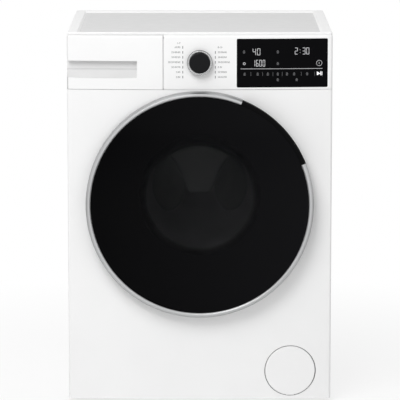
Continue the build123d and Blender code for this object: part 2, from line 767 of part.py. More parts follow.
def hinge_arm():
    """Moving hinge leaf with its knuckle and pin, screwed to the door frame."""
    y0 = Y_FRAME + 4.0
    arm = block(HINGE_X, HINGE_X + 34, y0, y0 + 4.0, DOOR_Z - 24, DOOR_Z + 24)
    arm += block(HINGE_X - 3, HINGE_X + 4, y0, HINGE_Y, DOOR_Z - 24, DOOR_Z + 24)
    arm += rod_z(KNUCKLE_R, HINGE_X, HINGE_Y, DOOR_Z - 24, DOOR_Z + 24)
    return arm + rod_z(PIN_R, HINGE_X, HINGE_Y, DOOR_Z - HINGE_HALF, DOOR_Z + HINGE_HALF)


def hinge_bracket():
    """Fixed hinge leaf on the front panel with an upper and a lower knuckle."""
    x1 = -DISH_R - 1.0
    leaf = block(HINGE_X + 2, x1, HINGE_Y + 4, Y_EDGE, DOOR_Z - HINGE_HALF, DOOR_Z + HINGE_HALF)
    leaf -= block(HINGE_X, x1 + 1, HINGE_Y, HINGE_Y + 11, DOOR_Z - 26, DOOR_Z + 26)
    for z0, z1 in ((DOOR_Z - HINGE_HALF, DOOR_Z - 25), (DOOR_Z + 25, DOOR_Z + HINGE_HALF)):
        leaf += rod_z(KNUCKLE_R, HINGE_X, HINGE_Y, z0, z1)
        leaf += block(HINGE_X, HINGE_X + 8, HINGE_Y - 3, HINGE_Y + 5, z0, z1)
    leaf -= bowed_block(0, Y_SIDE, PANEL_BOTTOM, Z_PANEL_TOP)
    return leaf - rod_z(PIN_R + CLEAR, HINGE_X, HINGE_Y, DOOR_Z - 99, DOOR_Z + 99)


def door_lock():
    """Interlock behind the porthole dish, with a mouth for the hook."""
    lock = block(LATCH_X - 14, LATCH_X + 24, Y_DISH + SHEET / 2, Y_DISH + 26, DOOR_Z - 34, DOOR_Z + 34)
    inner = TUB_MOUTH + TUB_WALL + 7
    lock &= turned([(inner, Y_DISH, 0), (TUB_R, Y_DISH, 0), (TUB_R, 0, 0), (inner, 0, 0)])
    return lock - block(LATCH_X - 9, LATCH_X + 7, Y_DISH - 1, Y_DISH + 18, DOOR_Z - 14, DOOR_Z + 14)


def door_gasket():
    """Rubber bellows between the porthole lip and the tub mouth, with its sealing lip."""
    lip = PORT_R - SHEET / 2
    seal = BOWL_R - 3.0
    front = Y_DISH - SHEET / 2
    stub = TUB_MOUTH + TUB_WALL
    return turned(
        [
            (lip + 7, front - 4, 1.0),
            (lip + 7, front, 0),
            (lip, front, 0),
            (lip, front + 10, 1.0),
            (lip - 5, front + 10, 1.0),
            (lip - 5, front + 16, 1.5),
            (stub + 5, front + 16, 2.0),
            (stub + 5, TUB_FRONT - 2, 0),
            (stub, TUB_FRONT - 2, 0),
            (stub, TUB_FRONT - 12, 0),
            (stub + 2, front + 19.5, 0.5),
            (lip - 9, front + 19.5, 2.0),
            (lip - 9, front + 12, 1.5),
            (seal + 1, front + 18, 1.0),
            (seal, front + 15, 1.0),
            (lip - 12, front + 3, 2.0),
            (lip - 10, front - 4, 1.5),
        ]
    )


def gasket_clamp():
    """Wire ring that holds the gasket on the panel lip."""
    wire = PORT_R - SHEET / 2 + 7
    front = Y_DISH - SHEET / 2
    return turned([(wire, front - 3, 0), (wire + 2, front - 3, 0), (wire + 2, front, 0), (wire, front, 0)])


def about_drum(piece, degrees):
    """Piece turned about the drum line."""
    return Pos(0, 0, DOOR_Z) * Rot(0, degrees, 0) * Pos(0, 0, -DOOR_Z) * piece


def drum_shell():
    """Drum wrapper with its coned front and rolled mouth."""
    middle = DRUM_R - DRUM_SHEET / 2
    path = [
        (DRUM_MOUTH_R, DRUM_FRONT + 8),
        (DRUM_MOUTH_R + 4, DRUM_FRONT),
        (middle - 34, DRUM_FRONT + 5),
        (middle - 8, DRUM_FRONT + 18),
        (middle, DRUM_FRONT + 32),
        (middle, DRUM_BACK),
    ]
    return turned(strip(path, DRUM_SHEET))


def drum_back():
    """Drum end wall with a pressed ring and a raised middle."""
    rim = DRUM_R - DRUM_SHEET
    path = [(0, DRUM_BACK - 13), (60, DRUM_BACK - 13), (85, DRUM_BACK - 1), (190, DRUM_BACK - 1)]
    path += [(205, DRUM_BACK - 8), (rim, DRUM_BACK - 8)]
    return turned(strip(path, DRUM_SHEET))


def drum_lifters():
    """Three tapered lifters on the inside of the drum."""
    z0 = DOOR_Z - DRUM_R
    z1 = z0 + DRUM_SHEET + LIFTER_HEIGHT
    half = LIFTER_WIDTH / 2
    y0 = DRUM_FRONT + 44
    y1 = DRUM_BACK - 16
    section = prism_y([(-half, z0, 0), (half, z0, 0), (half / 3, z1, 9), (-half / 3, z1, 9)], y0, y1)
    length = prism_x([(y0, z0, 0), (y1, z0, 0), (y1 - 16, z1, 10), (y0 + 40, z1, 14)], -half, half)
    lifter = section & length & rod_y(DRUM_R - DRUM_SHEET, 0, DOOR_Z, y0 - 1, y1 + 1)
    return [about_drum(lifter, a) for a in (0, 120, 240)]


def drum_spider():
    """Three-armed casting that joins the drum end to the shaft."""
    y1 = DRUM_BACK + 14
    spider = rod_y(34.0, 0, DOOR_Z, DRUM_BACK, y1)
    arm = prism_y(
        [
            (-20, DOOR_Z, 0),
            (20, DOOR_Z, 0),
            (13, DOOR_Z + DRUM_R - 50, 6),
            (-13, DOOR_Z + DRUM_R - 50, 6),
        ],
        DRUM_BACK - 1 + DRUM_SHEET / 2,
        DRUM_BACK + 11,
    )
    for a in (0, 120, 240):
        spider += about_drum(arm, a)
    return spider - rod_y(SHAFT_R, 0, DOOR_Z, DRUM_BACK - 20, y1 + 1)


def drum_shaft():
    """Stepped drum shaft."""
    step = TUB_REAR + 10
    thin = SHAFT_R - 2.5
    shaft = rod_y(SHAFT_R, 0, DOOR_Z, DRUM_BACK, step)
    return shaft + rod_y(thin, 0, DOOR_Z, step, Y_PULLEY + PULLEY_WIDTH)


def pulley_wheel():
    """Large belt pulley with six spokes."""
    y1 = Y_PULLEY + PULLEY_WIDTH
    pulley = rod_y(PULLEY_R, 0, DOOR_Z, Y_PULLEY, y1) - rod_y(PULLEY_R - 8, 0, DOOR_Z, Y_PULLEY - 1, y1 + 1)
    spoke = block(-9, 9, Y_PULLEY + 5, Y_PULLEY + 11, DOOR_Z, DOOR_Z + PULLEY_R - 6)
    for i in range(6):
        pulley += about_drum(spoke, 60 * i)
    pulley += rod_y(24.0, 0, DOOR_Z, Y_PULLEY, y1)
    return pulley - rod_y(SHAFT_R - 2.5, 0, DOOR_Z, Y_PULLEY - 1, y1 + 1)


def pulley_bolt():
    """Washer and hexagon bolt that hold the pulley on the shaft."""
    y1 = Y_PULLEY + PULLEY_WIDTH
    head = Pos(0, y1 + 2, DOOR_Z) * Rot(-90, 0, 0) * extrude(RegularPolygon(9.0, 6), 6)
    return rod_y(19.0, 0, DOOR_Z, y1, y1 + 2) + head


def drive_pulley():
    """Pulley and the bolt that holds it."""
    return [pulley_wheel(), pulley_bolt()]


def drive_belt():
    """Ribbed belt around the two pulleys."""
    sections = []
    for grow in (CLEAR + BELT_THICK, CLEAR):
        big = PULLEY_R + grow
        small = MOTOR_PULLEY_R + grow
        low = -(big - small) / (DOOR_Z - MOTOR_Z)
        out = math.sqrt(1 - low**2)
        a = (big * out, DOOR_Z + big * low)
        b = (small * out, MOTOR_Z + small * low)
        face = make_face(
            [
                ThreePointArc(a, (0, DOOR_Z + big), (-a[0], a[1])),
                Line((-a[0], a[1]), (-b[0], b[1])),
                ThreePointArc((-b[0], b[1]), (0, MOTOR_Z - small), b),
                Line(b, a),
            ]
        )
        y0 = Y_PULLEY + (PULLEY_WIDTH - BELT_WIDTH) / 2
        plane = Plane(origin=(0, y0 + BELT_WIDTH, 0), x_dir=(1, 0, 0), z_dir=(0, -1, 0))
        sections.append(extrude(plane * face, BELT_WIDTH))
    return sections[0] - sections[1]


def motor():
    """Drive motor with its mounting bars and cooling rings."""
    y0 = MOUNT_YS[0] - 30
    y1 = TUB_REAR + 24
    body = rod_y(MOTOR_R - 4, 0, MOTOR_Z, y0, y1)
    for y in (y0 + 14, y0 + 46, y1 - 46, y1 - 14):
        body += rod_y(MOTOR_R, 0, MOTOR_Z, y - 8, y + 8)
    for y in MOUNT_YS:
        body += block(-44, 44, y - 9, y + 9, MOTOR_Z + 20, Z_MOTOR_MOUNT)
    return body - rod_y(7.0 + CLEAR, 0, MOTOR_Z, y1 - 20, y1 + 1)


def motor_pulley():
    """Small pulley on the motor spindle."""
    y1 = Y_PULLEY + PULLEY_WIDTH
    return rod_y(7.0, 0, MOTOR_Z, TUB_REAR + 6, Y_PULLEY) + rod_y(MOTOR_PULLEY_R, 0, MOTOR_Z, Y_PULLEY, y1)


def tub_core():
    """Inside of the tub, cut from everything that is built on its wall."""
    return rod_y(TUB_R - TUB_WALL, 0, DOOR_Z, TUB_FRONT + TUB_WALL, TUB_REAR - TUB_WALL - 8)


def damper_lug(x, y):
    """Lug under the tub for a damper rod."""
    top = DOOR_Z - math.sqrt(TUB_R**2 - x**2) + 30
    return block(x - 9, x + 9, y - 9, y + 9, Z_ROD_TOP, top)


def tub_front():
    """Front half of the tub with its mouth, damper lugs and sump spigot."""
    middle = TUB_R - TUB_WALL / 2
    mouth = TUB_MOUTH + TUB_WALL / 2
    face = TUB_FRONT + TUB_WALL / 2
    path = [(mouth, TUB_FRONT - 12), (mouth, face), (middle, face), (middle, TUB_SPLIT)]
    shell = turned(strip(path, TUB_WALL))
    built = rod_z(20.0, SUMP_X, SUMP_Y, SUMP_TOP, DOOR_Z - TUB_R + 68)
    for x in (-DAMPER_X, DAMPER_X):
        built += damper_lug(x, DAMPER_YS[0])
    shell += built - tub_core()
    return shell - rod_z(16.0, SUMP_X, SUMP_Y, SUMP_TOP - 1, DOOR_Z - TUB_R + 78)


def tub_rear():
    """Rear half of the tub with bearing hub, spring ears, lugs and filling spigot."""
    middle = TUB_R - TUB_WALL / 2
    face = TUB_REAR - TUB_WALL / 2
    path = [(middle, TUB_SPLIT), (middle, face - 14), (middle - 22, face), (HUB_R - 4, face)]
    shell = turned(strip(path, TUB_WALL))
    shell += rod_y(HUB_R, 0, DOOR_Z, TUB_REAR - 20, TUB_REAR + 38)
    built = rod_z(18.0, FILL_X, FILL_Y, DOOR_Z + 130, FILL_Z)
    for x in (-DAMPER_X, DAMPER_X):
        built += damper_lug(x, DAMPER_YS[1])
    for y in MOUNT_YS:
        built += block(-40, 40, y - 8, y + 8, Z_MOTOR_MOUNT, DOOR_Z - TUB_R + 30)
    for sign in (-1, 1):
        x0, x1 = sorted((sign * (SPRING_X + SPRING_R + 2), sign * EAR_REACH))
        built += block(x0, x1, -EAR_HALF, EAR_HALF, Z_EAR - EAR_THICK, Z_EAR)
    shell += built - tub_core()
    shell -= rod_z(15.0, FILL_X, FILL_Y, DOOR_Z + 120, FILL_Z + 1)
    shell -= rod_y(36.0, 0, DOOR_Z, TUB_REAR - 21, TUB_REAR + 3)
    shell -= rod_y(31.0, 0, DOOR_Z, TUB_REAR + 20, TUB_REAR + 39)
    shell -= rod_y(SHAFT_R + 6, 0, DOOR_Z, TUB_REAR, TUB_REAR + 30)
    for x in (-HEATER_X, HEATER_X):
        shell -= rod_y(4.0, x, HEATER_Z, TUB_REAR - 40, TUB_REAR + 5)
    return shell


def bearings():
    """Front and rear drum bearing with the lip seal in front of them."""
    rings = []
    for outer, bore, y0, y1 in (
        (36.0, SHAFT_R, TUB_REAR - 16, TUB_REAR + 3),
        (31.0, SHAFT_R - 2.5, TUB_REAR + 20, TUB_REAR + 37),
    ):
        ring = rod_y(outer, 0, DOOR_Z, y0, y1)
        rings.append(ring - rod_y(bore + CLEAR, 0, DOOR_Z, y0 - 1, y1 + 1))
    return rings + [shaft_seal()]


def shaft_seal():
    """Lip seal in front of the bearings."""
    y0 = TUB_REAR - 20
    seal = rod_y(36.0, 0, DOOR_Z, y0, y0 + 4)
    return seal - rod_y(SHAFT_R + CLEAR, 0, DOOR_Z, y0 - 1, y0 + 5)


def heater():
    """Tubular heater in the bottom of the tub with its terminal block."""
    y0 = DRUM_FRONT + 74
    y1 = TUB_REAR + 16
    points = [(-HEATER_X, y1, HEATER_Z), (-HEATER_X, y0, HEATER_Z)]
    points += [(HEATER_X, y0, HEATER_Z), (HEATER_X, y1, HEATER_Z)]
    loop = tube(points, 4.0, 20.0)
    flange = block(-HEATER_X - 10, HEATER_X + 10, TUB_REAR + 2, TUB_REAR + 8, HEATER_Z - 9, HEATER_Z + 9)
    return loop + flange


def front_weights():
    """Upper and lower concrete weight on the front of the tub."""
    inner = TUB_MOUTH + TUB_WALL + 10
    outer = TUB_R - 32.0
    y0 = TUB_FRONT - 26
    section = [(inner, y0, 4), (outer, y0, 4), (outer, TUB_FRONT, 0), (inner, TUB_FRONT, 0)]
    ring = turned(section)
    above = block(-TUB_R, TUB_R, y0 - 1, TUB_FRONT + 1, DOOR_Z + 70, DOOR_Z + TUB_R)
    below = block(-TUB_R, TUB_R, y0 - 1, TUB_FRONT + 1, DOOR_Z - TUB_R, DOOR_Z - 70)
    return [ring & above, ring & below]


def top_weight():
    """Concrete weight on the crown of the tub."""
    y0 = TUB_SPLIT - 50
    y1 = TUB_SPLIT + 140
    weight = block(-60, 140, y0, y1, DOOR_Z + TUB_R - 48, DOOR_Z + TUB_R + 56)
    weight = fillet(weight.edges().filter_by(Axis.Z), 12)
    return weight - rod_y(TUB_R, 0, DOOR_Z, y0 - 20, y1 + 20)


def counterweights():
    """All concrete weights of the tub."""
    return front_weights() + [top_weight()]


def springs():
    """Two suspension springs from the cabinet's top flange to the tub's ears."""
    low = Z_EAR + SPRING_WIRE + CLEAR
    coil = Z_WORKTOP - SHEET - SPRING_WIRE - low
    helix = Helix(coil / SPRING_TURNS, coil, SPRING_R)
    wire = sweep(Plane(origin=helix @ 0, z_dir=helix % 0) * Circle(SPRING_WIRE), path=helix, is_frenet=True)
    right = Pos(SPRING_X, 0, low) * wire
    return [right, mirror(right, about=Plane.YZ)]


def damper_cylinders():
    """Four damper cylinders standing on the base."""
    out = []
    for x, y in DAMPER_SPOTS:
        body = rod_z(DAMPER_R, x, y, BASE_BOTTOM + BASE_FLOOR + 18, DAMPER_TOP)
        body += block(x - 9, x + 9, y - 9, y + 9, BASE_BOTTOM + BASE_FLOOR, BASE_BOTTOM + BASE_FLOOR + 19)
        floor = BASE_BOTTOM + BASE_FLOOR + DAMPER_FLOOR
        out.append(body - rod_z(ROD_R + CLEAR, x, y, floor, DAMPER_TOP + 1))
    return out


def damper_rods():
    """Four damper rods under the tub."""
    out = []
    for x, y in DAMPER_SPOTS:
        rod = rod_z(ROD_R, x, y, ROD_LOW, Z_ROD_TOP - 10)
        out.append(rod + rod_z(ROD_R + 4, x, y, Z_ROD_TOP - 12, Z_ROD_TOP))
    return out


def rod_x(r, y, z, x0, x1):
    """Round bar along X."""
    return Pos((x0 + x1) / 2, y, z) * Rot(0, 90, 0) * Cylinder(r, x1 - x0)


def filter_cup():
    """Cup behind the filter opening, with the two ledges that carry the flap's hinge bead."""
    back = Y_SIDE + SHEET
    cup = rod_y(CUP_R + 2, FLAP_X, FLAP_Z, Y_FRONT - 2, back)
    cup -= rod_y(CUP_R, FLAP_X, FLAP_Z, Y_FRONT - 3, back - 2)
    cup -= rod_y(FILTER_R + 2, FLAP_X, FLAP_Z, Y_FRONT, back + 1)
    low = -FLAP_R
    reach = back - FLAP_Y - 1.0
    for side in (-1, 1):
        x0, x1 = sorted((side * 0.3 * FLAP_BEAD_HALF, side * 0.9 * FLAP_BEAD_HALF))
        ledge = block(x0, x1, 2 * FLAP_BEAD_R + CLEAR, reach, low, low + FLAP_BEAD_R - CLEAR)
        cup += at_bow(FLAP_X, FLAP_Z, ledge)
    return cup & bowed_block(SHEET, back + 1, 0, Z_PANEL_TOP)


def filter_flap():
    """Round flush flap over the drain filter, bevelled at its rim, with a hinge bead along its foot."""
    skin = bowed_block(0, Y_SIDE, 0, Z_PANEL_TOP)
    skin -= bowed_block(FLAP_THICK, Y_SIDE + 1, -1, Z_PANEL_TOP + 1)
    rim = FLAP_R - FLAP_BEVEL
    corners = [(0, -2, 0), (rim - 2, -2, 0), (FLAP_R, FLAP_BEVEL, 0), (FLAP_R, 20, 0), (0, 20, 0)]
    plug = revolve(outline(corners), Axis.Y, 360)
    foot = 2 * FLAP_BEAD_R
    plug -= block(-FLAP_R, FLAP_R, -3, 21, -FLAP_R - 1, -FLAP_R + FLAP_BEAD_R)
    bead = rod_x(FLAP_BEAD_R, FLAP_BEAD_R, FLAP_BEAD_R - FLAP_R, -FLAP_BEAD_HALF, FLAP_BEAD_HALF)
    web = block(-FLAP_BEAD_HALF, FLAP_BEAD_HALF, 0.3, foot, FLAP_BEAD_R - FLAP_R, 2 * foot - FLAP_R)
    lid = skin & at_bow(FLAP_X, FLAP_Z, plug)
    return lid + (at_bow(FLAP_X, FLAP_Z, bead + web) & bowed_block(0, Y_SIDE, 0, Z_PANEL_TOP))


def filter_plug():
    """Screw-in drain filter with its grip bar."""
    head = Y_SIDE - 9
    plug = rod_y(FILTER_R, FLAP_X, FLAP_Z, head, PUMP_BACK - 20)
    plug -= rod_y(FILTER_R - 6, FLAP_X, FLAP_Z, head + 24, PUMP_BACK)
    bar = block(FLAP_X - 5, FLAP_X + 5, head - 9, head + 1, FLAP_Z - 26, FLAP_Z + 26)
    return plug + fillet(bar.edges().filter_by(Axis.Y), 3)


def drain_pump():
    """Drain pump with the filter chamber, its stubs and its foot on the base."""
    y0 = Y_SIDE + SHEET
    pump = rod_y(FILTER_R + 6, FLAP_X, FLAP_Z, y0, PUMP_BACK)
    pump += rod_y(26.0, FLAP_X, FLAP_Z, PUMP_BACK, PUMP_BACK + 54)
    pump += rod_x(20.0, SUMP_OUT_Y, SUMP_OUT_Z, FLAP_X - 66, FLAP_X - 20)
    pump += rod_x(HOSE_R - 2, PUMP_BACK + 22, FLAP_Z, FLAP_X, FLAP_X + 32)
    floor = BASE_BOTTOM + BASE_FLOOR
    pump += block(FLAP_X - 26, FLAP_X + 26, y0 + 12, PUMP_BACK - 8, floor, FLAP_Z - 20)
    pump -= rod_y(FILTER_R + CLEAR, FLAP_X, FLAP_Z, y0 - 1, PUMP_BACK - 8)
    return pump - rod_x(16.0, SUMP_OUT_Y, SUMP_OUT_Z, FLAP_X - 67, FLAP_X - 20)


def sump_hose():
    """Hose from the tub's sump to the pump."""
    points = [
        (SUMP_X, SUMP_Y, SUMP_TOP + 14),
        (SUMP_X, SUMP_Y, SUMP_OUT_Z),
        (SUMP_X, SUMP_OUT_Y, SUMP_OUT_Z),
        (FLAP_X - 54, SUMP_OUT_Y, SUMP_OUT_Z),
    ]
    return tube(points, 23.0, 32.0, 20.0)


def drain_hose():
    """Drain hose from the pump to the outlet in the rear cover."""
    y0 = PUMP_BACK + 22
    points = [
        (FLAP_X + 27, y0, FLAP_Z),
        (DRAIN_X, y0, FLAP_Z),
        (DRAIN_X, Y_REAR - 38, FLAP_Z),
        (DRAIN_X, Y_REAR - 38, DRAIN_Z),
        (DRAIN_X, Y_REAR + 8, DRAIN_Z),
    ]
    return tube(points, HOSE_R, 13.0, HOSE_R - 2)


def drawer_front():
    """Left-hand end of the control panel: the drawer's front with its sideways-open grip."""
    x1 = DRAWER_RIGHT - PANEL_SEAM
    back = Y_LEDGE - CLEAR
    front = panel_blank() & block(-X_SIDE - 1, x1, Y_FRONT - 5, back, Z_FASCIA - 1, HEIGHT)
    hollow = bowed_block(MOULD, back + 1, Z_FASCIA + MOULD, Z_FASCIA_TOP - MOULD, CORNER_R - MOULD)
    lip = GRIP_HIGH + GRIP_UNDER
    rooms = block(-X_SIDE, x1 - MOULD, Y_FRONT, back - 4, lip + MOULD, HEIGHT)
    rooms += block(-X_SIDE, x1 - MOULD, Y_FRONT, back - 4, Z_FASCIA, GRIP_LOW - MOULD)
    rooms += block(GRIP_END + MOULD, x1 - MOULD, Y_FRONT, back - 4, Z_FASCIA, HEIGHT)
    front -= hollow & rooms
    recess = prism_x(
        [
            (-20.0, GRIP_LOW, 0),
            (1.0, GRIP_LOW, 2.0),
            (GRIP_DEPTH, GRIP_LOW + 18.0, 6.0),
            (GRIP_DEPTH, lip, 3.0),
            (MOULD + 1.0, lip, 1.0),
            (MOULD + 1.0, GRIP_HIGH, 0),
            (-20.0, GRIP_HIGH, 0),
        ],
        GRIP_X - GRIP_END - 10.0,
        GRIP_END - GRIP_X,
    )
    front -= at_bow(GRIP_X, 0, recess)
    return front


def drawer_tray():
    """Detergent tray with three compartments and a softener siphon post."""
    y0 = Y_LEDGE - CLEAR
    tray = block(TRAY_X0, TRAY_X1, y0, y0 + TRAY_LENGTH, TRAY_Z, TRAY_Z + TRAY_HEIGHT)
    for x0, x1, b0, b1 in compartments():
        tray -= block(x0, x1, b0, b1, TRAY_Z + TRAY_WALL, TRAY_Z + TRAY_HEIGHT + 1)
    x0, x1, b0, b1 = compartments()[2]
    return tray + rod_z(5.0, (x0 + x1) / 2, b1 - 22, TRAY_Z + TRAY_WALL - 0.5, TRAY_Z + 30)


def compartments():
    """Plan limits of the main, prewash and softener compartments."""
    y0 = Y_LEDGE - CLEAR + 10.0
    y1 = Y_LEDGE - CLEAR + TRAY_LENGTH - TRAY_WALL
    middle = TRAY_X0 + (TRAY_X1 - TRAY_X0) * 0.52
    cross = (y0 + y1) / 2 + 14.0
    w = TRAY_WALL
    return [
        (middle + w, TRAY_X1 - w, y0, y1),
        (TRAY_X0 + w, middle - w, y0, cross - w),
        (TRAY_X0 + w, middle - w, cross + w, y1),
    ]


def siphon_cap():
    """Lift-out cap over the softener compartment's siphon post."""
    x0, x1, _, b1 = compartments()[2]
    cx = (x0 + x1) / 2
    top = TRAY_Z + TRAY_HEIGHT - 6
    cap = rod_z(9.0, cx, b1 - 22, TRAY_Z + 8, top)
    cap -= rod_z(7.0, cx, b1 - 22, TRAY_Z + 7, TRAY_Z + 30)
    return cap + block(x0, x1, b1 - 34, b1 - 10, top - 3, top)


def dispenser_housing():
    """Dispenser box with its filling neck and outlet spigot."""
    y0 = Y_LEDGE + 2.0
    y1 = y0 + HOUSING_LENGTH
    w = HOUSING_WALL
    box = block(HOUSING_X0, HOUSING_X1, y0, y1, Z_HOUSING, Z_WORKTOP - 8)
    box -= block(HOUSING_X0 + w, HOUSING_X1 - w, y0 - 1, y1 - w, Z_HOUSING + w, Z_WORKTOP - 8 - w)
    box += rod_z(18.0, FILL_X, FILL_Y, Z_HOUSING - 16, Z_HOUSING)
    box += rod_y(8.0, INLET_X, INLET_Z, y1, y1 + 14)
    return box - rod_z(15.0, FILL_X, FILL_Y, Z_HOUSING - 17, Z_HOUSING + w + 0.5)


def dispenser_hose():
    """Corrugated hose from the dispenser down to the tub."""
    z0 = FILL_Z - 12
    z1 = Z_HOUSING - 4
    hose = rod_z(20.0, FILL_X, FILL_Y, z0, z1)
    for i in range(5):
        z = FILL_Z + 4 + 7.0 * i
        hose += rod_z(23.0, FILL_X, FILL_Y, z, z + 3.5)
    return hose - rod_z(18.0, FILL_X, FILL_Y, z0 - 1, z1 + 1)


def valve_body():
    """Solenoid water valve, its threaded inlet through the rear cover."""
    y1 = Y_REAR - SHEET
    valve = block(INLET_X - 20, INLET_X + 20, y1 - 40, y1, INLET_Z - 22, INLET_Z + 22)
    valve += rod_z(13.0, INLET_X, y1 - 22, INLET_Z + 20, INLET_Z + 44)
    valve += rod_y(INLET_R + 0.3, INLET_X, INLET_Z, y1, Y_REAR + 2)
    valve += rod_y(INLET_R, INLET_X, INLET_Z, Y_REAR + 2, Y_REAR + INLET_PROUD)
    valve += rod_y(8.0, INLET_X, INLET_Z, y1 - 54, y1 - 40)
    return valve - rod_y(9.0, INLET_X, INLET_Z, Y_REAR + 2, Y_REAR + INLET_PROUD + 1)


def fill_hose():
    """Short hose from the valve to the dispenser."""
    y0 = Y_LEDGE + 2.0 + HOUSING_LENGTH + 2
    y1 = Y_REAR - SHEET - 42
    hose = rod_y(10.5, INLET_X, INLET_Z, y0, y1)
    return hose - rod_y(8.0, INLET_X, INLET_Z, y0 - 1, y1 + 1)


def inlet_valve():
    """Water valve and the hose from it to the dispenser."""
    return [valve_body(), fill_hose()]


def cable_gland():
    """Strain relief where the mains lead would leave the rear cover."""
    gland = rod_y(GLAND_R, GLAND_X, INLET_Z, Y_REAR - 7, Y_REAR + 7)
    gland += rod_y(GLAND_R + 3, GLAND_X, INLET_Z, Y_REAR, Y_REAR + 2)
    gland += rod_y(GLAND_R + 3, GLAND_X, INLET_Z, Y_REAR - SHEET - 4, Y_REAR - SHEET)
    return gland - rod_y(3.5, GLAND_X, INLET_Z, Y_REAR - 9, Y_REAR + 9)


def rear_fixings():
    """Caps in the four transit-bolt holes and the screws of the rear cover."""
    caps = [
        rod_y(CAP_R + 4, x, z, Y_REAR, Y_REAR + 2.5) + rod_y(CAP_R, x, z, Y_REAR - 6, Y_REAR)
        for x, z in CAP_SPOTS
    ]
    return caps + rear_screws()


def rear_screws():
    """Heads of the screws that hold the rear cover."""
    spots = [(x, z) for x in (SCREW_SIDE - X_SIDE, X_SIDE - SCREW_SIDE) for z in SCREW_ZS]
    return [rod_y(SCREW_R, x, z, Y_REAR, Y_REAR + SCREW_HEAD) for x, z in spots]


def power_module():
    """Power electronics box on the inside of the right-hand panel."""
    x1 = X_SIDE - SHEET
    y1 = Y_REAR - MODULE_ROOM
    top = INLET_Z + 5.0
    box = block(x1 - MODULE_WIDTH, x1, y1 - MODULE_LENGTH, y1, top - MODULE_HEIGHT, top)
    return fillet(box.edges().filter_by(Axis.X), 8)


def electronics():
    """Display board, encoder and power module."""
    return [display_board(), rotary_encoder(), power_module()]


def foot(x, y):
    """Levelling foot: pad with flats and a threaded stem."""
    pad = rod_z(FOOT_R, x, y, 0, FOOT_PAD - 3)
    pad += Pos(x, y, FOOT_PAD - 3) * extrude(RegularPolygon(FOOT_R - 4, 6), 3)
    return pad + rod_z(STEM_R, x, y, FOOT_PAD, Z_BASE_TOP - 4)


def foot_nuts():
    """Lock nuts tightened against the underside of the base."""
    nuts = []
    for x, y in FOOT_SPOTS:
        nut = Pos(x, y, FOOT_PAD + 2) * extrude(RegularPolygon(11.0, 6), BASE_BOTTOM - FOOT_PAD - 2)
        nuts.append(nut - rod_z(STEM_R + CLEAR, x, y, 0, BASE_BOTTOM + 1))
    return nuts


def write(name, shape):
    """Export one node; a list becomes a node of several solids."""
    pieces = shape if isinstance(shape, list) else [shape]
    solids = [s for piece in pieces for s in piece.solids()]
    body = Compound(children=solids) if len(solids) > 1 else solids[0]
    body.label = name
    export_step(body, os.path.join("parts", name + ".step"))


def main():
    os.makedirs("parts", exist_ok=True)
    right_side = side_panel()
    write("side_panel_right", right_side)
    write("side_panel_left", mirror(right_side, about=Plane.YZ))
    foot_names = ("foot_front_left", "foot_rear_left", "foot_front_right", "foot_rear_right")
    for name, spot in zip(foot_names, FOOT_SPOTS):
        write(name, foot(*spot))
    for make in NODES:
        write(make.__name__, make())


NODES = (
    base_tray,
    front_panel,
    rear_panel,
    crossbar,
    worktop_frame,
    worktop_board,
    control_fascia,
    display_window,
    electronics,
    knob_cap,
    knob_ring,
    door_ring,
    door_grip,
    door_window,
    door_frame,
    door_bowl,
    latch_hook,
    hinge_arm,
    hinge_bracket,
    door_lock,
    door_gasket,
    gasket_clamp,
    drum_shell,
    drum_back,
    drum_lifters,
    drum_spider,
    drum_shaft,
    drive_pulley,
    drive_belt,
    motor,
    motor_pulley,
    tub_front,
    tub_rear,
    bearings,
    heater,
    counterweights,
    springs,
    damper_cylinders,
    damper_rods,
    filter_cup,
    filter_flap,
    filter_plug,
    drain_pump,
    sump_hose,
    drain_hose,
    drawer_front,
    drawer_tray,
    siphon_cap,
    dispenser_housing,
    dispenser_hose,
    inlet_valve,
    cable_gland,
    rear_fixings,
    foot_nuts,
)

main()
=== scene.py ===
"""Dresses the front load washing machine for a plain studio picture, in metres and in the model's frame."""

from __future__ import annotations

import logging
import math
from dataclasses import dataclass, field
from enum import Enum
from typing import ClassVar

import bmesh
import bpy
import numpy as np
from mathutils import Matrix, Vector

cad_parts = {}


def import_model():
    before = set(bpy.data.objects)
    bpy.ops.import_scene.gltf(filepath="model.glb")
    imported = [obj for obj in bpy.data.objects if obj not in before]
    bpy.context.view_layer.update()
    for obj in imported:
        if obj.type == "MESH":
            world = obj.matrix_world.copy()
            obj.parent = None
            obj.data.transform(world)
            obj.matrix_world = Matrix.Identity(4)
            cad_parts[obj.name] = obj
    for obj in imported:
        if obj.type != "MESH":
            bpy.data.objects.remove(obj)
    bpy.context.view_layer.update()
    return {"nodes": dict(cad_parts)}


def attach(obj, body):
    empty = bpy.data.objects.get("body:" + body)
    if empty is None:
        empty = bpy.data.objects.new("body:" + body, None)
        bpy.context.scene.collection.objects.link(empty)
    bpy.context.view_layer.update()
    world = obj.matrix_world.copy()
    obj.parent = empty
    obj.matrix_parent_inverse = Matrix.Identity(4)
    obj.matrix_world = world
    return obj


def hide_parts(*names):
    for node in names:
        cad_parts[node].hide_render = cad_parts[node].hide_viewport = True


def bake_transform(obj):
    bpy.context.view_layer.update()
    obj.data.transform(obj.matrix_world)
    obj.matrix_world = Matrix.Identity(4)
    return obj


LOG = logging.getLogger("washing_machine")

Colour = tuple[float, float, float]
Point = tuple[float, float, float]
Surface = tuple[np.ndarray, np.ndarray]
Values = np.ndarray | float
Socket = bpy.types.NodeSocket

MM = 0.001
DOOR_Z = 459.0 * MM
FRONT_Y = -268.0 * MM
BOW_RADIUS = 3434.0 * MM
MERGE_DISTANCE = 1e-7
WELD_DISTANCE = 2e-6
SHARP_ANGLE = 28.0
NOISE_SPAN = (0.3, 0.7)
CLOUD_SCALE = 7.0
CLOUD_SHADES = (0.988, 1.006)
ROUGH_SCALE = 38.0
ROUGH_SHARES = (0.88, 1.12)


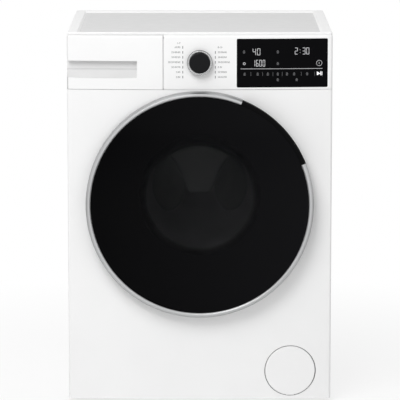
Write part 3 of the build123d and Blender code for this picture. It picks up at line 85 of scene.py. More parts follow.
class Body(str, Enum):
    """Bodies of the model that scene pieces ride on."""

    CABINET = "cabinet"
    TUB = "tub"
    DRUM = "drum"
    DOOR = "door"


def bow(x: np.ndarray) -> np.ndarray:
    """Depth of the bowed front at a distance across: a circular arc about an upright axis behind it.

    Args:
        x: Distances across from the middle, in metres.

    Returns:
        The Y of the front surface at each distance.
    """
    return FRONT_Y + BOW_RADIUS - np.sqrt(BOW_RADIUS**2 - np.square(x))


def grid_faces(rows: int, cols: int, close_rows: bool = False, close_cols: bool = False) -> np.ndarray:
    """Four-cornered faces of a grid of points, each joining a point to its next row and column.

    Args:
        rows: Points along the first parameter.
        cols: Points along the second parameter.
        close_rows: Whether the last row joins the first.
        close_cols: Whether the last column joins the first.

    Returns:
        An array of four point numbers a face.
    """
    index = np.arange(rows * cols).reshape(rows, cols)
    if close_rows:
        index = np.vstack([index, index[:1]])
    if close_cols:
        index = np.hstack([index, index[:, :1]])
    corners = [index[:-1, :-1], index[:-1, 1:], index[1:, 1:], index[1:, :-1]]
    return np.stack(corners, axis=-1).reshape(-1, 4)


def turned_surface(profile: np.ndarray, steps: int) -> Surface:
    """Surface of revolution about the door axis: radius times cosine across, radius times sine up.

    Args:
        profile: Radius and depth of each point of the section, a closed loop.
        steps: Points round the axis.

    Returns:
        Points and faces.
    """
    angle = np.linspace(0.0, 2 * np.pi, steps, endpoint=False)
    radius = profile[:, 0][:, None]
    x = radius * np.cos(angle)
    z = DOOR_Z + radius * np.sin(angle)
    y = np.broadcast_to(profile[:, 1][:, None], x.shape)
    points = np.stack([x, y, z], axis=-1).reshape(-1, 3)
    return points, grid_faces(len(profile), steps, close_rows=True, close_cols=True)


def smooth_loop(corners: np.ndarray, per_corner: int, pull: float) -> np.ndarray:
    """Closed section with each corner rounded by a quadratic curve between points on its two sides.

    Args:
        corners: Corner points of the section.
        per_corner: Points on each rounded corner.
        pull: Share of each side that its corner's curve takes.

    Returns:
        Points of the rounded section.
    """
    before = corners + (np.roll(corners, 1, axis=0) - corners) * pull
    after = corners + (np.roll(corners, -1, axis=0) - corners) * pull
    t = np.linspace(0.0, 1.0, per_corner)[None, :, None]
    curve = before[:, None] * (1 - t) ** 2 + corners[:, None] * 2 * t * (1 - t) + after[:, None] * t**2
    return curve.reshape(-1, corners.shape[1])


def tube_surface(path: np.ndarray, radius: np.ndarray, sides: int) -> Surface:
    """Round section carried along a path, square to it at every point, with a flat cap at each end.

    Args:
        path: Points of the middle line.
        radius: Radius at each point.
        sides: Points round the section.

    Returns:
        Points and faces.
    """
    tangent = np.gradient(path, axis=0)
    tangent /= np.linalg.norm(tangent, axis=1, keepdims=True)
    slant = np.array([0.53, 0.61, 0.59])
    across = np.cross(tangent, slant)
    across /= np.linalg.norm(across, axis=1, keepdims=True)
    other = np.cross(tangent, across)
    angle = np.linspace(0.0, 2 * np.pi, sides, endpoint=False)
    ring = across[:, None] * np.cos(angle)[None, :, None] + other[:, None] * np.sin(angle)[None, :, None]
    skin = path[:, None] + ring * radius[:, None, None]
    ends = np.stack([path[:1].repeat(sides, axis=0), path[-1:].repeat(sides, axis=0)])
    skin = np.concatenate([ends[:1], skin, ends[1:]])
    return skin.reshape(-1, 3), grid_faces(len(skin), sides, close_cols=True)


def run_lengths(path: np.ndarray) -> np.ndarray:
    """Length along a path up to each of its points."""
    return np.concatenate([[0.0], np.cumsum(np.linalg.norm(np.diff(path, axis=0), axis=1))])


def blocks(centres: np.ndarray, sizes: np.ndarray) -> Surface:
    """Array of small blocks: every corner is its block's centre plus or minus half its size.

    Args:
        centres: Centre of each block.
        sizes: Size of each block along X, Y and Z.

    Returns:
        Points and faces.
    """
    signs = np.array([[i & 1, i >> 1 & 1, i >> 2 & 1] for i in range(8)]) - 0.5
    points = centres[:, None] + signs[None] * sizes[:, None]
    quads = np.array([[0, 2, 3, 1], [4, 5, 7, 6], [0, 1, 5, 4], [2, 6, 7, 3], [0, 4, 6, 2], [1, 3, 7, 5]])
    faces = (np.arange(len(centres)) * 8)[:, None, None] + quads[None]
    return points.reshape(-1, 3), faces.reshape(-1, 4)


def front_blocks(x: Values, z: Values, wide: Values, tall: Values, proud: float) -> Surface:
    """Thin marks on the bowed front, every corner half sunk into it at its own depth there.

    Args:
        x: Middle of each mark across.
        z: Middle of each mark up.
        wide: Width of each mark.
        tall: Height of each mark.
        proud: How far the marks stand out.

    Returns:
        Points and faces.
    """
    x, z, wide, tall = np.broadcast_arrays(*map(np.atleast_1d, (x, z, wide, tall)))
    centres = np.stack([x, np.zeros(x.shape), z], axis=-1)
    sizes = np.stack([wide, np.full(x.shape, 2 * proud), tall], axis=-1)
    points, faces = blocks(centres, sizes)
    points[:, 1] += bow(points[:, 0])
    return points, faces


def piece(
    name: str, points: np.ndarray, faces: np.ndarray, finish: Finish, body: Body | None, smooth: bool = True
) -> bpy.types.Object:
    """Makes a mesh object of points and faces, with doubles merged and faces turned outwards.

    Args:
        name: Name of the piece.
        points: Its points.
        faces: Point numbers of its faces.
        finish: What it is made of.
        body: The body it rides on, or none.
        smooth: Whether it is shaded smooth.

    Returns:
        The new object.
    """
    mesh = bpy.data.meshes.new(name)
    mesh.from_pydata(points.tolist(), [], faces.tolist())
    work = bmesh.new()
    work.from_mesh(mesh)
    bmesh.ops.remove_doubles(work, verts=work.verts, dist=MERGE_DISTANCE)
    bmesh.ops.dissolve_degenerate(work, edges=work.edges, dist=MERGE_DISTANCE)
    bmesh.ops.recalc_face_normals(work, faces=work.faces)
    work.to_mesh(mesh)
    work.free()
    mesh.polygons.foreach_set("use_smooth", np.full(len(mesh.polygons), smooth))
    made = bpy.data.objects.new(name, mesh)
    bpy.context.scene.collection.objects.link(made)
    mesh.materials.append(finish.material())
    if body is not None:
        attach(made, body.value)
    LOG.info("made %s with %d faces", name, len(mesh.polygons))
    return made


def mark(name: str, surface: Surface, finish: Finish) -> None:
    """Makes a flat-shaded piece that stays on the cabinet."""
    piece(name, *surface, finish, Body.CABINET, False)


class Shader:
    """A new node material with its surface shader and short ways to add and join nodes."""

    def __init__(self, name: str) -> None:
        """Starts the material with a surface shader and object coordinates."""
        self.made = bpy.data.materials.new(name)
        self.made.use_nodes = True
        self.tree = self.made.node_tree
        self.surface = self.tree.nodes["Principled BSDF"]
        self.coordinates = self.add("ShaderNodeTexCoord").outputs["Object"]

    def add(self, kind: str, **inputs: object) -> bpy.types.Node:
        """Adds a node and sets its inputs by name.

        Args:
            kind: The node's type.
            **inputs: Values of its inputs, with underscores for blanks.

        Returns:
            The node.
        """
        node = self.tree.nodes.new(kind)
        for name, value in inputs.items():
            node.inputs[name.replace("_", " ")].default_value = value
        return node

    def join(self, source: Socket, target: Socket) -> None:
        """Links an output to an input."""
        self.tree.links.new(source, target)

    def set(self, **inputs: object) -> None:
        """Sets inputs of the surface shader by name."""
        for name, value in inputs.items():
            self.surface.inputs[name.replace("_", " ")].default_value = value

    def feed(self, **sources: Socket) -> None:
        """Links outputs to inputs of the surface shader by name."""
        for name, source in sources.items():
            self.join(source, self.surface.inputs[name.replace("_", " ")])

    def noise(self, scale: float, stretch: Point = (1.0, 1.0, 1.0), detail: float = 2.0) -> Socket:
        """Noise over the object, stretched along its axes.

        Args:
            scale: Features a metre, about.
            stretch: Factor on the scale along each axis.
            detail: How much finer noise is added.

        Returns:
            The noise's value socket.
        """
        mapping = self.add("ShaderNodeMapping", Scale=stretch)
        self.join(self.coordinates, mapping.inputs["Vector"])
        noise = self.add("ShaderNodeTexNoise", Scale=scale, Detail=detail, Roughness=0.55)
        self.join(mapping.outputs["Vector"], noise.inputs["Vector"])
        return noise.outputs["Fac"]

    def ranged(
        self, source: Socket, start: float, end: float, low: float = 0.0, high: float = 1.0
    ) -> Socket:
        """Maps a span of a value onto another span, and holds the result at both ends.

        Args:
            source: Socket with the value.
            start: Where the span starts.
            end: Where the span ends.
            low: Result at the start.
            high: Result at the end.

        Returns:
            The result's socket.
        """
        node = self.add("ShaderNodeMapRange", From_Min=start, From_Max=end, To_Min=low, To_Max=high)
        self.join(source, node.inputs["Value"])
        return node.outputs["Result"]

    def uneven(self, source: Socket, middle: float, shares: tuple[float, float]) -> Socket:
        """Value that a noise moves between two shares of its middle."""
        return self.ranged(source, *NOISE_SPAN, middle * shares[0], middle * shares[1])

    def tint(
        self, source: Socket, low: Colour, high: Colour, start: float = 0.0, end: float = 1.0
    ) -> Socket:
        """Colours a value with a ramp between two colours.

        Args:
            source: Socket with the value.
            low: Colour at the start.
            high: Colour at the end.
            start: Where the ramp starts.
            end: Where the ramp ends.

        Returns:
            The colour's socket.
        """
        ramp = self.add("ShaderNodeValToRGB")
        ramp.color_ramp.elements[0].position = start
        ramp.color_ramp.elements[1].position = end
        ramp.color_ramp.elements[0].color = (*low, 1.0)
        ramp.color_ramp.elements[1].color = (*high, 1.0)
        self.join(source, ramp.inputs["Fac"])
        return ramp.outputs["Color"]

    def grain(self, source: Socket, depth: float, strength: float) -> None:
        """Raises the surface by a value.

        Args:
            source: Socket with the height.
            depth: Height in metres at a value of one.
            strength: How strongly it shows.
        """
        bump = self.add("ShaderNodeBump", Strength=strength, Distance=depth)
        self.join(source, bump.inputs["Height"])
        self.join(bump.outputs["Normal"], self.surface.inputs["Normal"])

    def along(self, axis: str, start: float, end: float) -> Socket:
        """Share of the way between two places along an axis of the object.

        Args:
            axis: Name of the axis.
            start: Where the share is nought.
            end: Where the share is one.

        Returns:
            The share's socket.
        """
        place = self.add("ShaderNodeSeparateXYZ")
        self.join(self.coordinates, place.inputs["Vector"])
        return self.ranged(place.outputs[axis], start, end)

    def distance(self, shift: Point, scale: Point) -> Socket:
        """Length of the object's coordinates once they are scaled and shifted.

        Args:
            shift: Shift along each axis.
            scale: Factor along each axis, nought where the axis doesn't count.

        Returns:
            The length's socket.
        """
        mapping = self.add("ShaderNodeMapping", Location=shift, Scale=scale)
        self.join(self.coordinates, mapping.inputs["Vector"])
        length = self.add("ShaderNodeVectorMath")
        length.operation = "LENGTH"
        self.join(mapping.outputs["Vector"], length.inputs[0])
        return length.outputs["Value"]

    def axis_radius(self, x: float, z: float) -> Socket:
        """Distance from a line along Y at a place across and up."""
        return self.distance((-x, 0.0, -z), (1.0, 0.0, 1.0))

    def bow_depth(self) -> Socket:
        """Depth behind the bowed front: the bow's radius less the distance from its upright axis.

        Returns:
            The depth's socket.
        """
        depth = self.add("ShaderNodeMath")
        depth.operation = "SUBTRACT"
        depth.inputs[0].default_value = BOW_RADIUS
        self.join(self.distance((0.0, -FRONT_Y - BOW_RADIUS, 0.0), (1.0, 1.0, 0.0)), depth.inputs[1])
        return depth.outputs[0]


def shade(colour: Colour, factor: float) -> Colour:
    """Colour made lighter or darker by a factor."""
    return tuple(min(1.0, c * factor) for c in colour)


@dataclass(frozen=True)
class Finish:
    """A surface finish, made once and shared by every piece that has it."""

    name: str
    slot: str
    colour: Colour
    roughness: float = 0.4
    reflection: float = field(default=0.5, kw_only=True)

    def material(self) -> bpy.types.Material:
        """The finish's material, made on first use."""
        return bpy.data.materials.get(self.name) or self.mix().made

    def mix(self) -> Shader:
        """Plain finish: its colour with soft uneven cloudiness and an uneven roughness.

        Returns:
            The shader.
        """
        shader = Shader(self.name)
        low, high = (shade(self.colour, factor) for factor in CLOUD_SHADES)
        shader.feed(Base_Color=shader.tint(shader.noise(CLOUD_SCALE), low, high, *NOISE_SPAN))
        shader.feed(Roughness=shader.uneven(shader.noise(ROUGH_SCALE), self.roughness, ROUGH_SHARES))
        shader.set(Specular_IOR_Level=self.reflection)
        return shader


@dataclass(frozen=True)
class Enamel(Finish):
    """Stove enamel on sheet: a clear coat over a faint orange-peel."""

    coat: float = 0.25
    coat_roughness: float = 0.12
    peel_scale: float = 260.0
    peel_depth: float = 0.06 * MM
    strength: float = 0.25

    def mix(self) -> Shader:
        """Plain finish with orange-peel and a clear coat."""
        shader = super().mix()
        shader.set(Coat_Weight=self.coat, Coat_Roughness=self.coat_roughness)
        shader.grain(shader.noise(self.peel_scale, detail=1.0), self.peel_depth, self.strength)
        return shader


@dataclass(frozen=True)
class Moulding(Finish):
    """Moulded plastic or rubber with a fine pressed grain."""

    grain_scale: float = 1500.0
    grain_depth: float = 0.05 * MM
    strength: float = 0.3

    def mix(self) -> Shader:
        """Plain finish with a fine grain."""
        shader = super().mix()
        shader.grain(shader.noise(self.grain_scale, detail=3.0), self.grain_depth, self.strength)
        return shader


@dataclass(frozen=True)
class RecessShadeMoulding(Moulding):
    """Moulding of the bowed front with painted shade in its recess, darkest towards the recess's foot."""

    # Painted shade: the recess is coloured darker, and its foot darker still, in place of the shade that
    # falls there.
    recess_depths: tuple[float, float] = (0.2 * MM, 1.2 * MM)
    painted_recess_shade: float = 0.88
    foot_heights: tuple[float, float] = (766.5 * MM, 762.5 * MM)
    painted_foot_shade: float = 0.64

    def mix(self) -> Shader:
        """Moulding whose colour runs to a painted shade with the depth behind the front, darkest towards
        the recess's foot.

        Returns:
            The shader.
        """
        shader = super().mix()
        # Painted shade colours for the recess's upper part and for its foot.
        upper = shade(self.colour, self.painted_recess_shade)
        lower = shade(self.colour, self.painted_foot_shade)
        blend = shader.add("ShaderNodeMixRGB", Color1=(*self.colour, 1.0))
        shader.join(shader.ranged(shader.bow_depth(), *self.recess_depths), blend.inputs["Fac"])
        recess = shader.tint(shader.along("Z", *self.foot_heights), upper, lower)
        shader.join(recess, blend.inputs["Color2"])
        shader.feed(Base_Color=blend.outputs["Color"])
        return shader


@dataclass(frozen=True)
class Metal(Finish):
    """Bare or plated metal with fine lines along one way."""

    stretch: Point = (1.0, 1.0, 1.0)
    line_scale: float = 90.0
    depth: float = 0.02 * MM
    strength: float = 0.2
    rough_shares: tuple[float, float] = (0.7, 1.3)

    def mix(self) -> Shader:
        """Plain finish made metallic, with lines in its height and roughness.

        Returns:
            The shader.
        """
        shader = super().mix()
        shader.set(Metallic=1.0)
        lines = shader.noise(self.line_scale, self.stretch, 4.0)
        shader.feed(Roughness=shader.uneven(lines, self.roughness, self.rough_shares))
        shader.grain(lines, self.depth, self.strength)
        return shader


@dataclass(frozen=True)
class RimmedMetal(Metal):
    """Plated ring that darkens towards its outer edge, where it turns away from the light."""

    centre_z: float = 0.0
    rim_radii: tuple[float, float] = (0.0, 1.0)
    rim_shade: float = 0.3

    def mix(self) -> Shader:
        """Metal whose colour runs from its own to a darker one over a span of radius.

        Returns:
            The shader.
        """
        shader = super().mix()
        rim = shader.ranged(shader.axis_radius(0.0, self.centre_z), *self.rim_radii)
        shader.feed(Base_Color=shader.tint(rim, self.colour, shade(self.colour, self.rim_shade)))
        return shader


@dataclass(frozen=True)
class Galvanised(Finish):
    """Zinc-coated sheet with its faint spangle of crystals."""

    metal: float = 0.85
    crystal_scale: float = 85.0
    crystal_shades: tuple[float, float] = (0.93, 1.05)
    shade_span: tuple[float, float] = (0.1, 0.9)
    rough_shares: tuple[float, float] = (0.9, 1.15)

    def mix(self) -> Shader:
        """Plain finish whose colour and roughness step from crystal to crystal.

        Returns:
            The shader.
        """
        shader = super().mix()
        shader.set(Metallic=self.metal)
        cells = shader.add("ShaderNodeTexVoronoi", Scale=self.crystal_scale)
        shader.join(shader.coordinates, cells.inputs["Vector"])
        value = shader.add("ShaderNodeSeparateColor")
        shader.join(cells.outputs["Color"], value.inputs["Color"])
        low, high = (shade(self.colour, factor) for factor in self.crystal_shades)
        shader.feed(Base_Color=shader.tint(value.outputs["Red"], low, high, *self.shade_span))
        shader.feed(Roughness=shader.uneven(value.outputs["Green"], self.roughness, self.rough_shares))
        return shader


@dataclass(frozen=True)
class Stone(Finish):
    """Cast concrete with pale grit and small pits."""

    grit_scale: float = 420.0
    grit_shades: tuple[float, float] = (0.7, 1.2)
    grit_span: tuple[float, float] = (0.35, 0.7)
    grit_depth: float = 0.4 * MM
    strength: float = 0.6

    def mix(self) -> Shader:
        """Plain finish with speckles and a rough skin.

        Returns:
            The shader.
        """
        shader = super().mix()
        speckle = shader.noise(self.grit_scale, detail=6.0)
        low, high = (shade(self.colour, factor) for factor in self.grit_shades)
        shader.feed(Base_Color=shader.tint(speckle, low, high, *self.grit_span))
        shader.grain(speckle, self.grit_depth, self.strength)
        return shader


@dataclass(frozen=True)
class Glass(Finish):
    """Glass that lets part of the light straight through inside a radius of the door's axis."""

    alpha: float = 1.0
    clear_radius: float = 0.0
    clear_rise: float = 0.0
    border: float = 20.0 * MM
    # Painted light: the colour is made lighter by this factor towards the right.
    painted_right_light: float = field(default=1.0, kw_only=True)
    half_width: float = 250.0 * MM
    wave_scale: float = 14.0
    wave_depth: float = 0.2 * MM
    strength: float = 0.12

    def mix(self) -> Shader:
        """Plain finish, glossy, with a faint waviness and painted light that makes its colour lighter
        towards the right, opaque outside its clear middle.

        Returns:
            The shader.
        """
        shader = super().mix()
        shader.set(IOR=1.5)
        shader.grain(shader.noise(self.wave_scale, detail=0.0), self.wave_depth, self.strength)
        across = shader.along("X", -self.half_width, self.half_width)
        # Painted light: the colour runs lighter towards the right.
        shader.feed(Base_Color=shader.tint(across, self.colour, shade(self.colour, self.painted_right_light)))
        if self.clear_radius > 0.0:
            radius = shader.axis_radius(0.0, DOOR_Z + self.clear_rise)
            outside = self.clear_radius + self.border
            shader.feed(Alpha=shader.ranged(radius, self.clear_radius, outside, self.alpha))
        else:
            shader.set(Alpha=self.alpha)
        return shader


@dataclass(frozen=True)
class Lit(Finish):
    """Display mark that glows a little by itself."""

    glow: float = 0.4

    def mix(self) -> Shader:
        """Plain finish with a steady glow of its own colour."""
        shader = super().mix()
        shader.set(Emission_Color=(*self.colour, 1.0), Emission_Strength=self.glow)
        return shader


class Finishes:
    """Every finish on the machine, by the pieces that have it."""

    ENAMEL = Enamel("white_enamel_finish", "white_enamel", (0.87, 0.87, 0.87), 0.36)
    FRONT_MOULDING = Moulding("front_moulding_finish", "white_moulding", (0.87, 0.87, 0.87), 0.38)
    # The drawer front's recess carries painted shade.
    DRAWER_FRONT = RecessShadeMoulding("drawer_front_finish", "white_moulding", (0.87, 0.87, 0.87), 0.38)
    SEAM_LIP = Moulding("seam_lip_finish", "white_moulding", (0.85, 0.85, 0.85), 0.5)
    LAMINATE = Moulding(
        "worktop_laminate_finish",
        "worktop",
        (0.67, 0.67, 0.67),
        0.42,
        grain_scale=700.0,
        grain_depth=0.08 * MM,
        strength=0.35,
    )
    RIM = Moulding("worktop_rim_finish", "white_moulding", (0.88, 0.88, 0.88), 0.34)
    ZINC = Galvanised("galvanised_finish", "zinc_sheet", (0.62, 0.63, 0.64), 0.42)
    DISPLAY = Glass("display_glass_finish", "black_window", (0.003, 0.003, 0.0035), 0.12, reflection=0.035)
    # The smoked window is painted lighter towards its right side, as painted light.
    SMOKED = Glass(
        "smoked_glass_finish",
        "smoked_window",
        (0.0016, 0.0016, 0.0018),
        0.08,
        alpha=0.35,
        clear_radius=118.0 * MM,
        clear_rise=24.0 * MM,
        reflection=0.025,
        painted_right_light=3.6,
    )
    BOWL = Glass("bowl_glass_finish", "clear_bowl", (0.09, 0.097, 0.097), 0.12, alpha=0.1, reflection=0.35)
    PLATING = RimmedMetal(
        "ring_plating_finish",
        "bright_ring",
        (0.54, 0.545, 0.55),
        0.36,
        line_scale=9.0,
        depth=0.0,
        centre_z=DOOR_Z,
        rim_radii=(252.5 * MM, 256.5 * MM),
        rim_shade=0.72,
    )
    KNOB_PLATING = RimmedMetal(
        "knob_plating_finish",
        "bright_ring",
        (0.85, 0.855, 0.86),
        0.2,
        stretch=(1.0, 8.0, 1.0),
        line_scale=120.0,
        centre_z=780.0 * MM,
        rim_radii=(26.7 * MM, 27.8 * MM),
        rim_shade=0.12,
    )
    GRIP = Moulding("grip_moulding_finish", "black_moulding", (0.002, 0.002, 0.0022), 0.36, reflection=0.05)
    # Pale plate in the bowl: painted light for the lit fan of the drum's back.
    FACET = Glass("bowl_facet_finish", "clear_bowl", (0.6, 0.62, 0.62), 0.3, alpha=0.2, reflection=0.2)
    LEAF = Glass("bowl_leaf_finish", "clear_bowl", (0.5, 0.52, 0.52), 0.2, alpha=0.1, reflection=0.5)
    BLACK = Moulding(
        "black_moulding_finish",
        "black_moulding",
        (0.006, 0.006, 0.007),
        0.42,
        reflection=0.12,
    )
    GREY = Moulding("grey_moulding_finish", "grey_moulding", (0.34, 0.35, 0.36), 0.5)
    LIFTER = Moulding("lifter_moulding_finish", "grey_moulding", (0.5, 0.51, 0.52), 0.45)
    TRAY = Moulding("drawer_moulding_finish", "drawer_moulding", (0.72, 0.73, 0.74), 0.42)
    BLUE = Moulding("blue_moulding_finish", "blue_moulding", (0.06, 0.18, 0.5), 0.4)
    DIE_CAST = Metal("die_cast_finish", "hinge_metal", (0.5, 0.5, 0.51), 0.45, line_scale=350.0)
    STEEL = Metal("plain_steel_finish", "steel", (0.45, 0.45, 0.46), 0.36, (1.0, 1.0, 12.0), 120.0)
    DRUM_STEEL = Metal(
        "drum_steel_finish",
        "drum_steel",
        (0.6, 0.6, 0.61),
        0.4,
        stretch=(0.05, 1.0, 0.05),
        line_scale=900.0,
        depth=0.005 * MM,
    )
    DRUM_PRESSING = Metal(
        "drum_pressing_finish",
        "drum_steel",
        (0.66, 0.66, 0.67),
        0.62,
        line_scale=12.0,
        depth=0.0,
    )
    LOCK = Moulding("lock_case_finish", "lock_case", (0.03, 0.03, 0.032), 0.5)
    MOTOR = Metal("motor_case_finish", "motor_case", (0.3, 0.31, 0.32), 0.5, line_scale=300.0)
    GASKET = Moulding("gasket_rubber_finish", "gasket_rubber", (0.2, 0.205, 0.21), 0.62, 900.0)
    RUBBER = Moulding("black_rubber_finish", "black_rubber", (0.014, 0.014, 0.014), 0.7, 900.0)
    TUB = Moulding("tub_moulding_finish", "tub_moulding", (0.6, 0.61, 0.6), 0.55, 240.0, 0.2 * MM)
    CONCRETE = Stone("concrete_finish", "concrete", (0.36, 0.35, 0.33), 0.9)
    INK = Finish("grey_ink_finish", "grey_moulding", (0.12, 0.122, 0.125), 0.55)
    TICK_INK = Finish("tick_ink_finish", "grey_moulding", (0.12, 0.122, 0.125), 0.5)
    LIT = Lit("display_digit_finish", "black_window", (0.33, 0.33, 0.34), 0.4, 0.8)
    BRIGHT = Lit("display_bright_finish", "black_window", (0.72, 0.72, 0.73), 0.4, 0.9)
    DIM = Lit("display_dim_finish", "black_window", (0.1, 0.1, 0.105), 0.4, 0.9)
    # Near-black plugs for the drum's holes: painted shade for the dark inside of each hole.
    HOLE_SHADE = Finish("perforation_finish", "black_rubber", (0.02, 0.02, 0.022), 0.6)


def smoothing() -> bpy.types.NodeTree:
    """Modifier that welds a model node's loose triangles and shades it smooth up to its real edges.

    Returns:
        The modifier's node group.
    """
    name = "smooth_to_edges"
    if name in bpy.data.node_groups:
        return bpy.data.node_groups[name]
    tree = bpy.data.node_groups.new(name, "GeometryNodeTree")
    tree.interface.new_socket("Geometry", in_out="INPUT", socket_type="NodeSocketGeometry")
    tree.interface.new_socket("Geometry", in_out="OUTPUT", socket_type="NodeSocketGeometry")
    start = tree.nodes.new("NodeGroupInput")
    weld = tree.nodes.new("GeometryNodeMergeByDistance")
    weld.inputs["Distance"].default_value = WELD_DISTANCE
    bare = tree.nodes.new("GeometryNodeRemoveAttribute")
    bare.inputs["Name"].default_value = "custom_normal"
    faces = tree.nodes.new("GeometryNodeSetShadeSmooth")
    edges = tree.nodes.new("GeometryNodeSetShadeSmooth")
    edges.domain = "EDGE"
    edges.inputs["Shade Smooth"].default_value = False
    angle = tree.nodes.new("GeometryNodeInputMeshEdgeAngle")
    sharp = tree.nodes.new("FunctionNodeCompare")
    sharp.data_type = "FLOAT"
    sharp.operation = "GREATER_THAN"
    sharp.inputs[1].default_value = math.radians(SHARP_ANGLE)
    end = tree.nodes.new("NodeGroupOutput")
    chain = (start, bare, weld, faces, edges, end)
    for before, after in zip(chain, chain[1:]):
        tree.links.new(before.outputs[0], after.inputs[0])
    tree.links.new(angle.outputs["Unsigned Angle"], sharp.inputs[0])
    tree.links.new(sharp.outputs["Result"], edges.inputs["Selection"])
    return tree


@dataclass
class Assembly:
    """A group of the machine's pieces: which finish each model node takes, and what is added to them."""

    FINISHES: ClassVar[dict[Finish, tuple[str, ...]]] = {}

    nodes: dict[str, bpy.types.Object]

    def build(self) -> None:
        """Adds the group's own pieces; a plain group has none."""

    def dress(self) -> None:
        """Gives each of the group's nodes its finish and smooth shading."""
        for finish, names in self.FINISHES.items():
            for name in names:
                node = self.nodes[name]
                node.data.materials.clear()
                node.data.materials.append(finish.material())
                node.modifiers.new("smooth_to_edges", "NODES").node_group = smoothing()
                LOG.info("dressed %s in %s", name, finish.name)


@dataclass
class Cabinet(Assembly):
    """Outer sheets, worktop, base, rear fittings and feet."""

    FINISHES = {
        Finishes.ENAMEL: ("side_panel_left", "side_panel_right", "front_panel"),
        Finishes.ZINC: ("rear_panel", "crossbar"),
        Finishes.RIM: ("worktop_frame",),
        Finishes.LAMINATE: ("worktop_board",),
        Finishes.GREY: ("base_tray",),
        Finishes.RUBBER: (
            "foot_front_left",
            "foot_rear_left",
            "foot_front_right",
            "foot_rear_right",
            "drain_hose",
        ),
        Finishes.STEEL: ("foot_nuts",),
        Finishes.BLACK: ("rear_fixings", "cable_gland"),
        Finishes.LOCK: ("inlet_valve",),
    }


@dataclass
class Drive(Assembly):
    """Tub, drum, motor and the parts between them."""

    FINISHES = {
        Finishes.DRUM_STEEL: ("drum_shell",),
        Finishes.DRUM_PRESSING: ("drum_back",),
        Finishes.LIFTER: ("drum_lifters",),
        Finishes.DIE_CAST: ("drum_spider", "drive_pulley"),
        Finishes.STEEL: (
            "drum_shaft",
            "motor_pulley",
            "bearings",
            "heater",
            "damper_rods",
            "gasket_clamp",
        ),
        Finishes.RUBBER: ("drive_belt",),
        Finishes.MOTOR: ("motor",),
        Finishes.TUB: ("tub_front", "tub_rear"),
        Finishes.CONCRETE: ("counterweights",),
        Finishes.LOCK: ("damper_cylinders", "drain_pump"),
    }

    hole_radius: float = 1.7 * MM
    hole_sides: int = 6
    cup_depths: tuple[float, float] = (-0.1 * MM, 0.4 * MM)
    wall_radius: float = 243.75 * MM
    rows: int = 20
    around: int = 96
    front: float = -143.0 * MM
    back: float = 135.0 * MM
    lifter_half_angle: float = 0.165

    def build(self) -> None:
        """Adds the drum's perforations as small near-black six-sided plugs through the wrapper between the
        lifters, their colour a painted shade for the dark inside of each hole.

        Each cup's rim lies on the drum's inner wall in a staggered pattern of rows along the axis and
        steps round it: the rim is the wall's radius turned by the step's angle plus the rim's own circle.
        """
        step = np.arange(self.around) * 2 * np.pi / self.around
        along = np.linspace(self.front, self.back, self.rows)
        y, a = np.meshgrid(along, step, indexing="ij")
        a = a + (np.arange(self.rows) % 2)[:, None] * np.pi / self.around
        lifter = np.mod(a + np.pi / 2 + np.pi / 3, 2 * np.pi / 3) - np.pi / 3
        keep = np.abs(lifter) > self.lifter_half_angle
        y, a = y[keep], a[keep]
        turn = np.linspace(0.0, 2 * np.pi, self.hole_sides, endpoint=False)
        inner, outer = (self.wall_radius + depth for depth in self.cup_depths)
        depth = np.array([inner, inner, outer, outer])[None, :, None]
        rim = np.array([0.0, 1.0, 1.0, 0.0])[None, :, None] * self.hole_radius
        angle = a[:, None, None] + rim * np.cos(turn) / self.wall_radius
        row = y[:, None, None] + rim * np.sin(turn)
        cups = np.stack([depth * np.cos(angle), row, DOOR_Z + depth * np.sin(angle)], axis=-1)
        cup = grid_faces(4, self.hole_sides, close_cols=True)
        faces = (np.arange(len(cups)) * 4 * self.hole_sides)[:, None, None] + cup[None]
        points = cups.reshape(-1, 3)
        piece("drum_perforations", points, faces.reshape(-1, 4), Finishes.HOLE_SHADE, Body.DRUM, False)


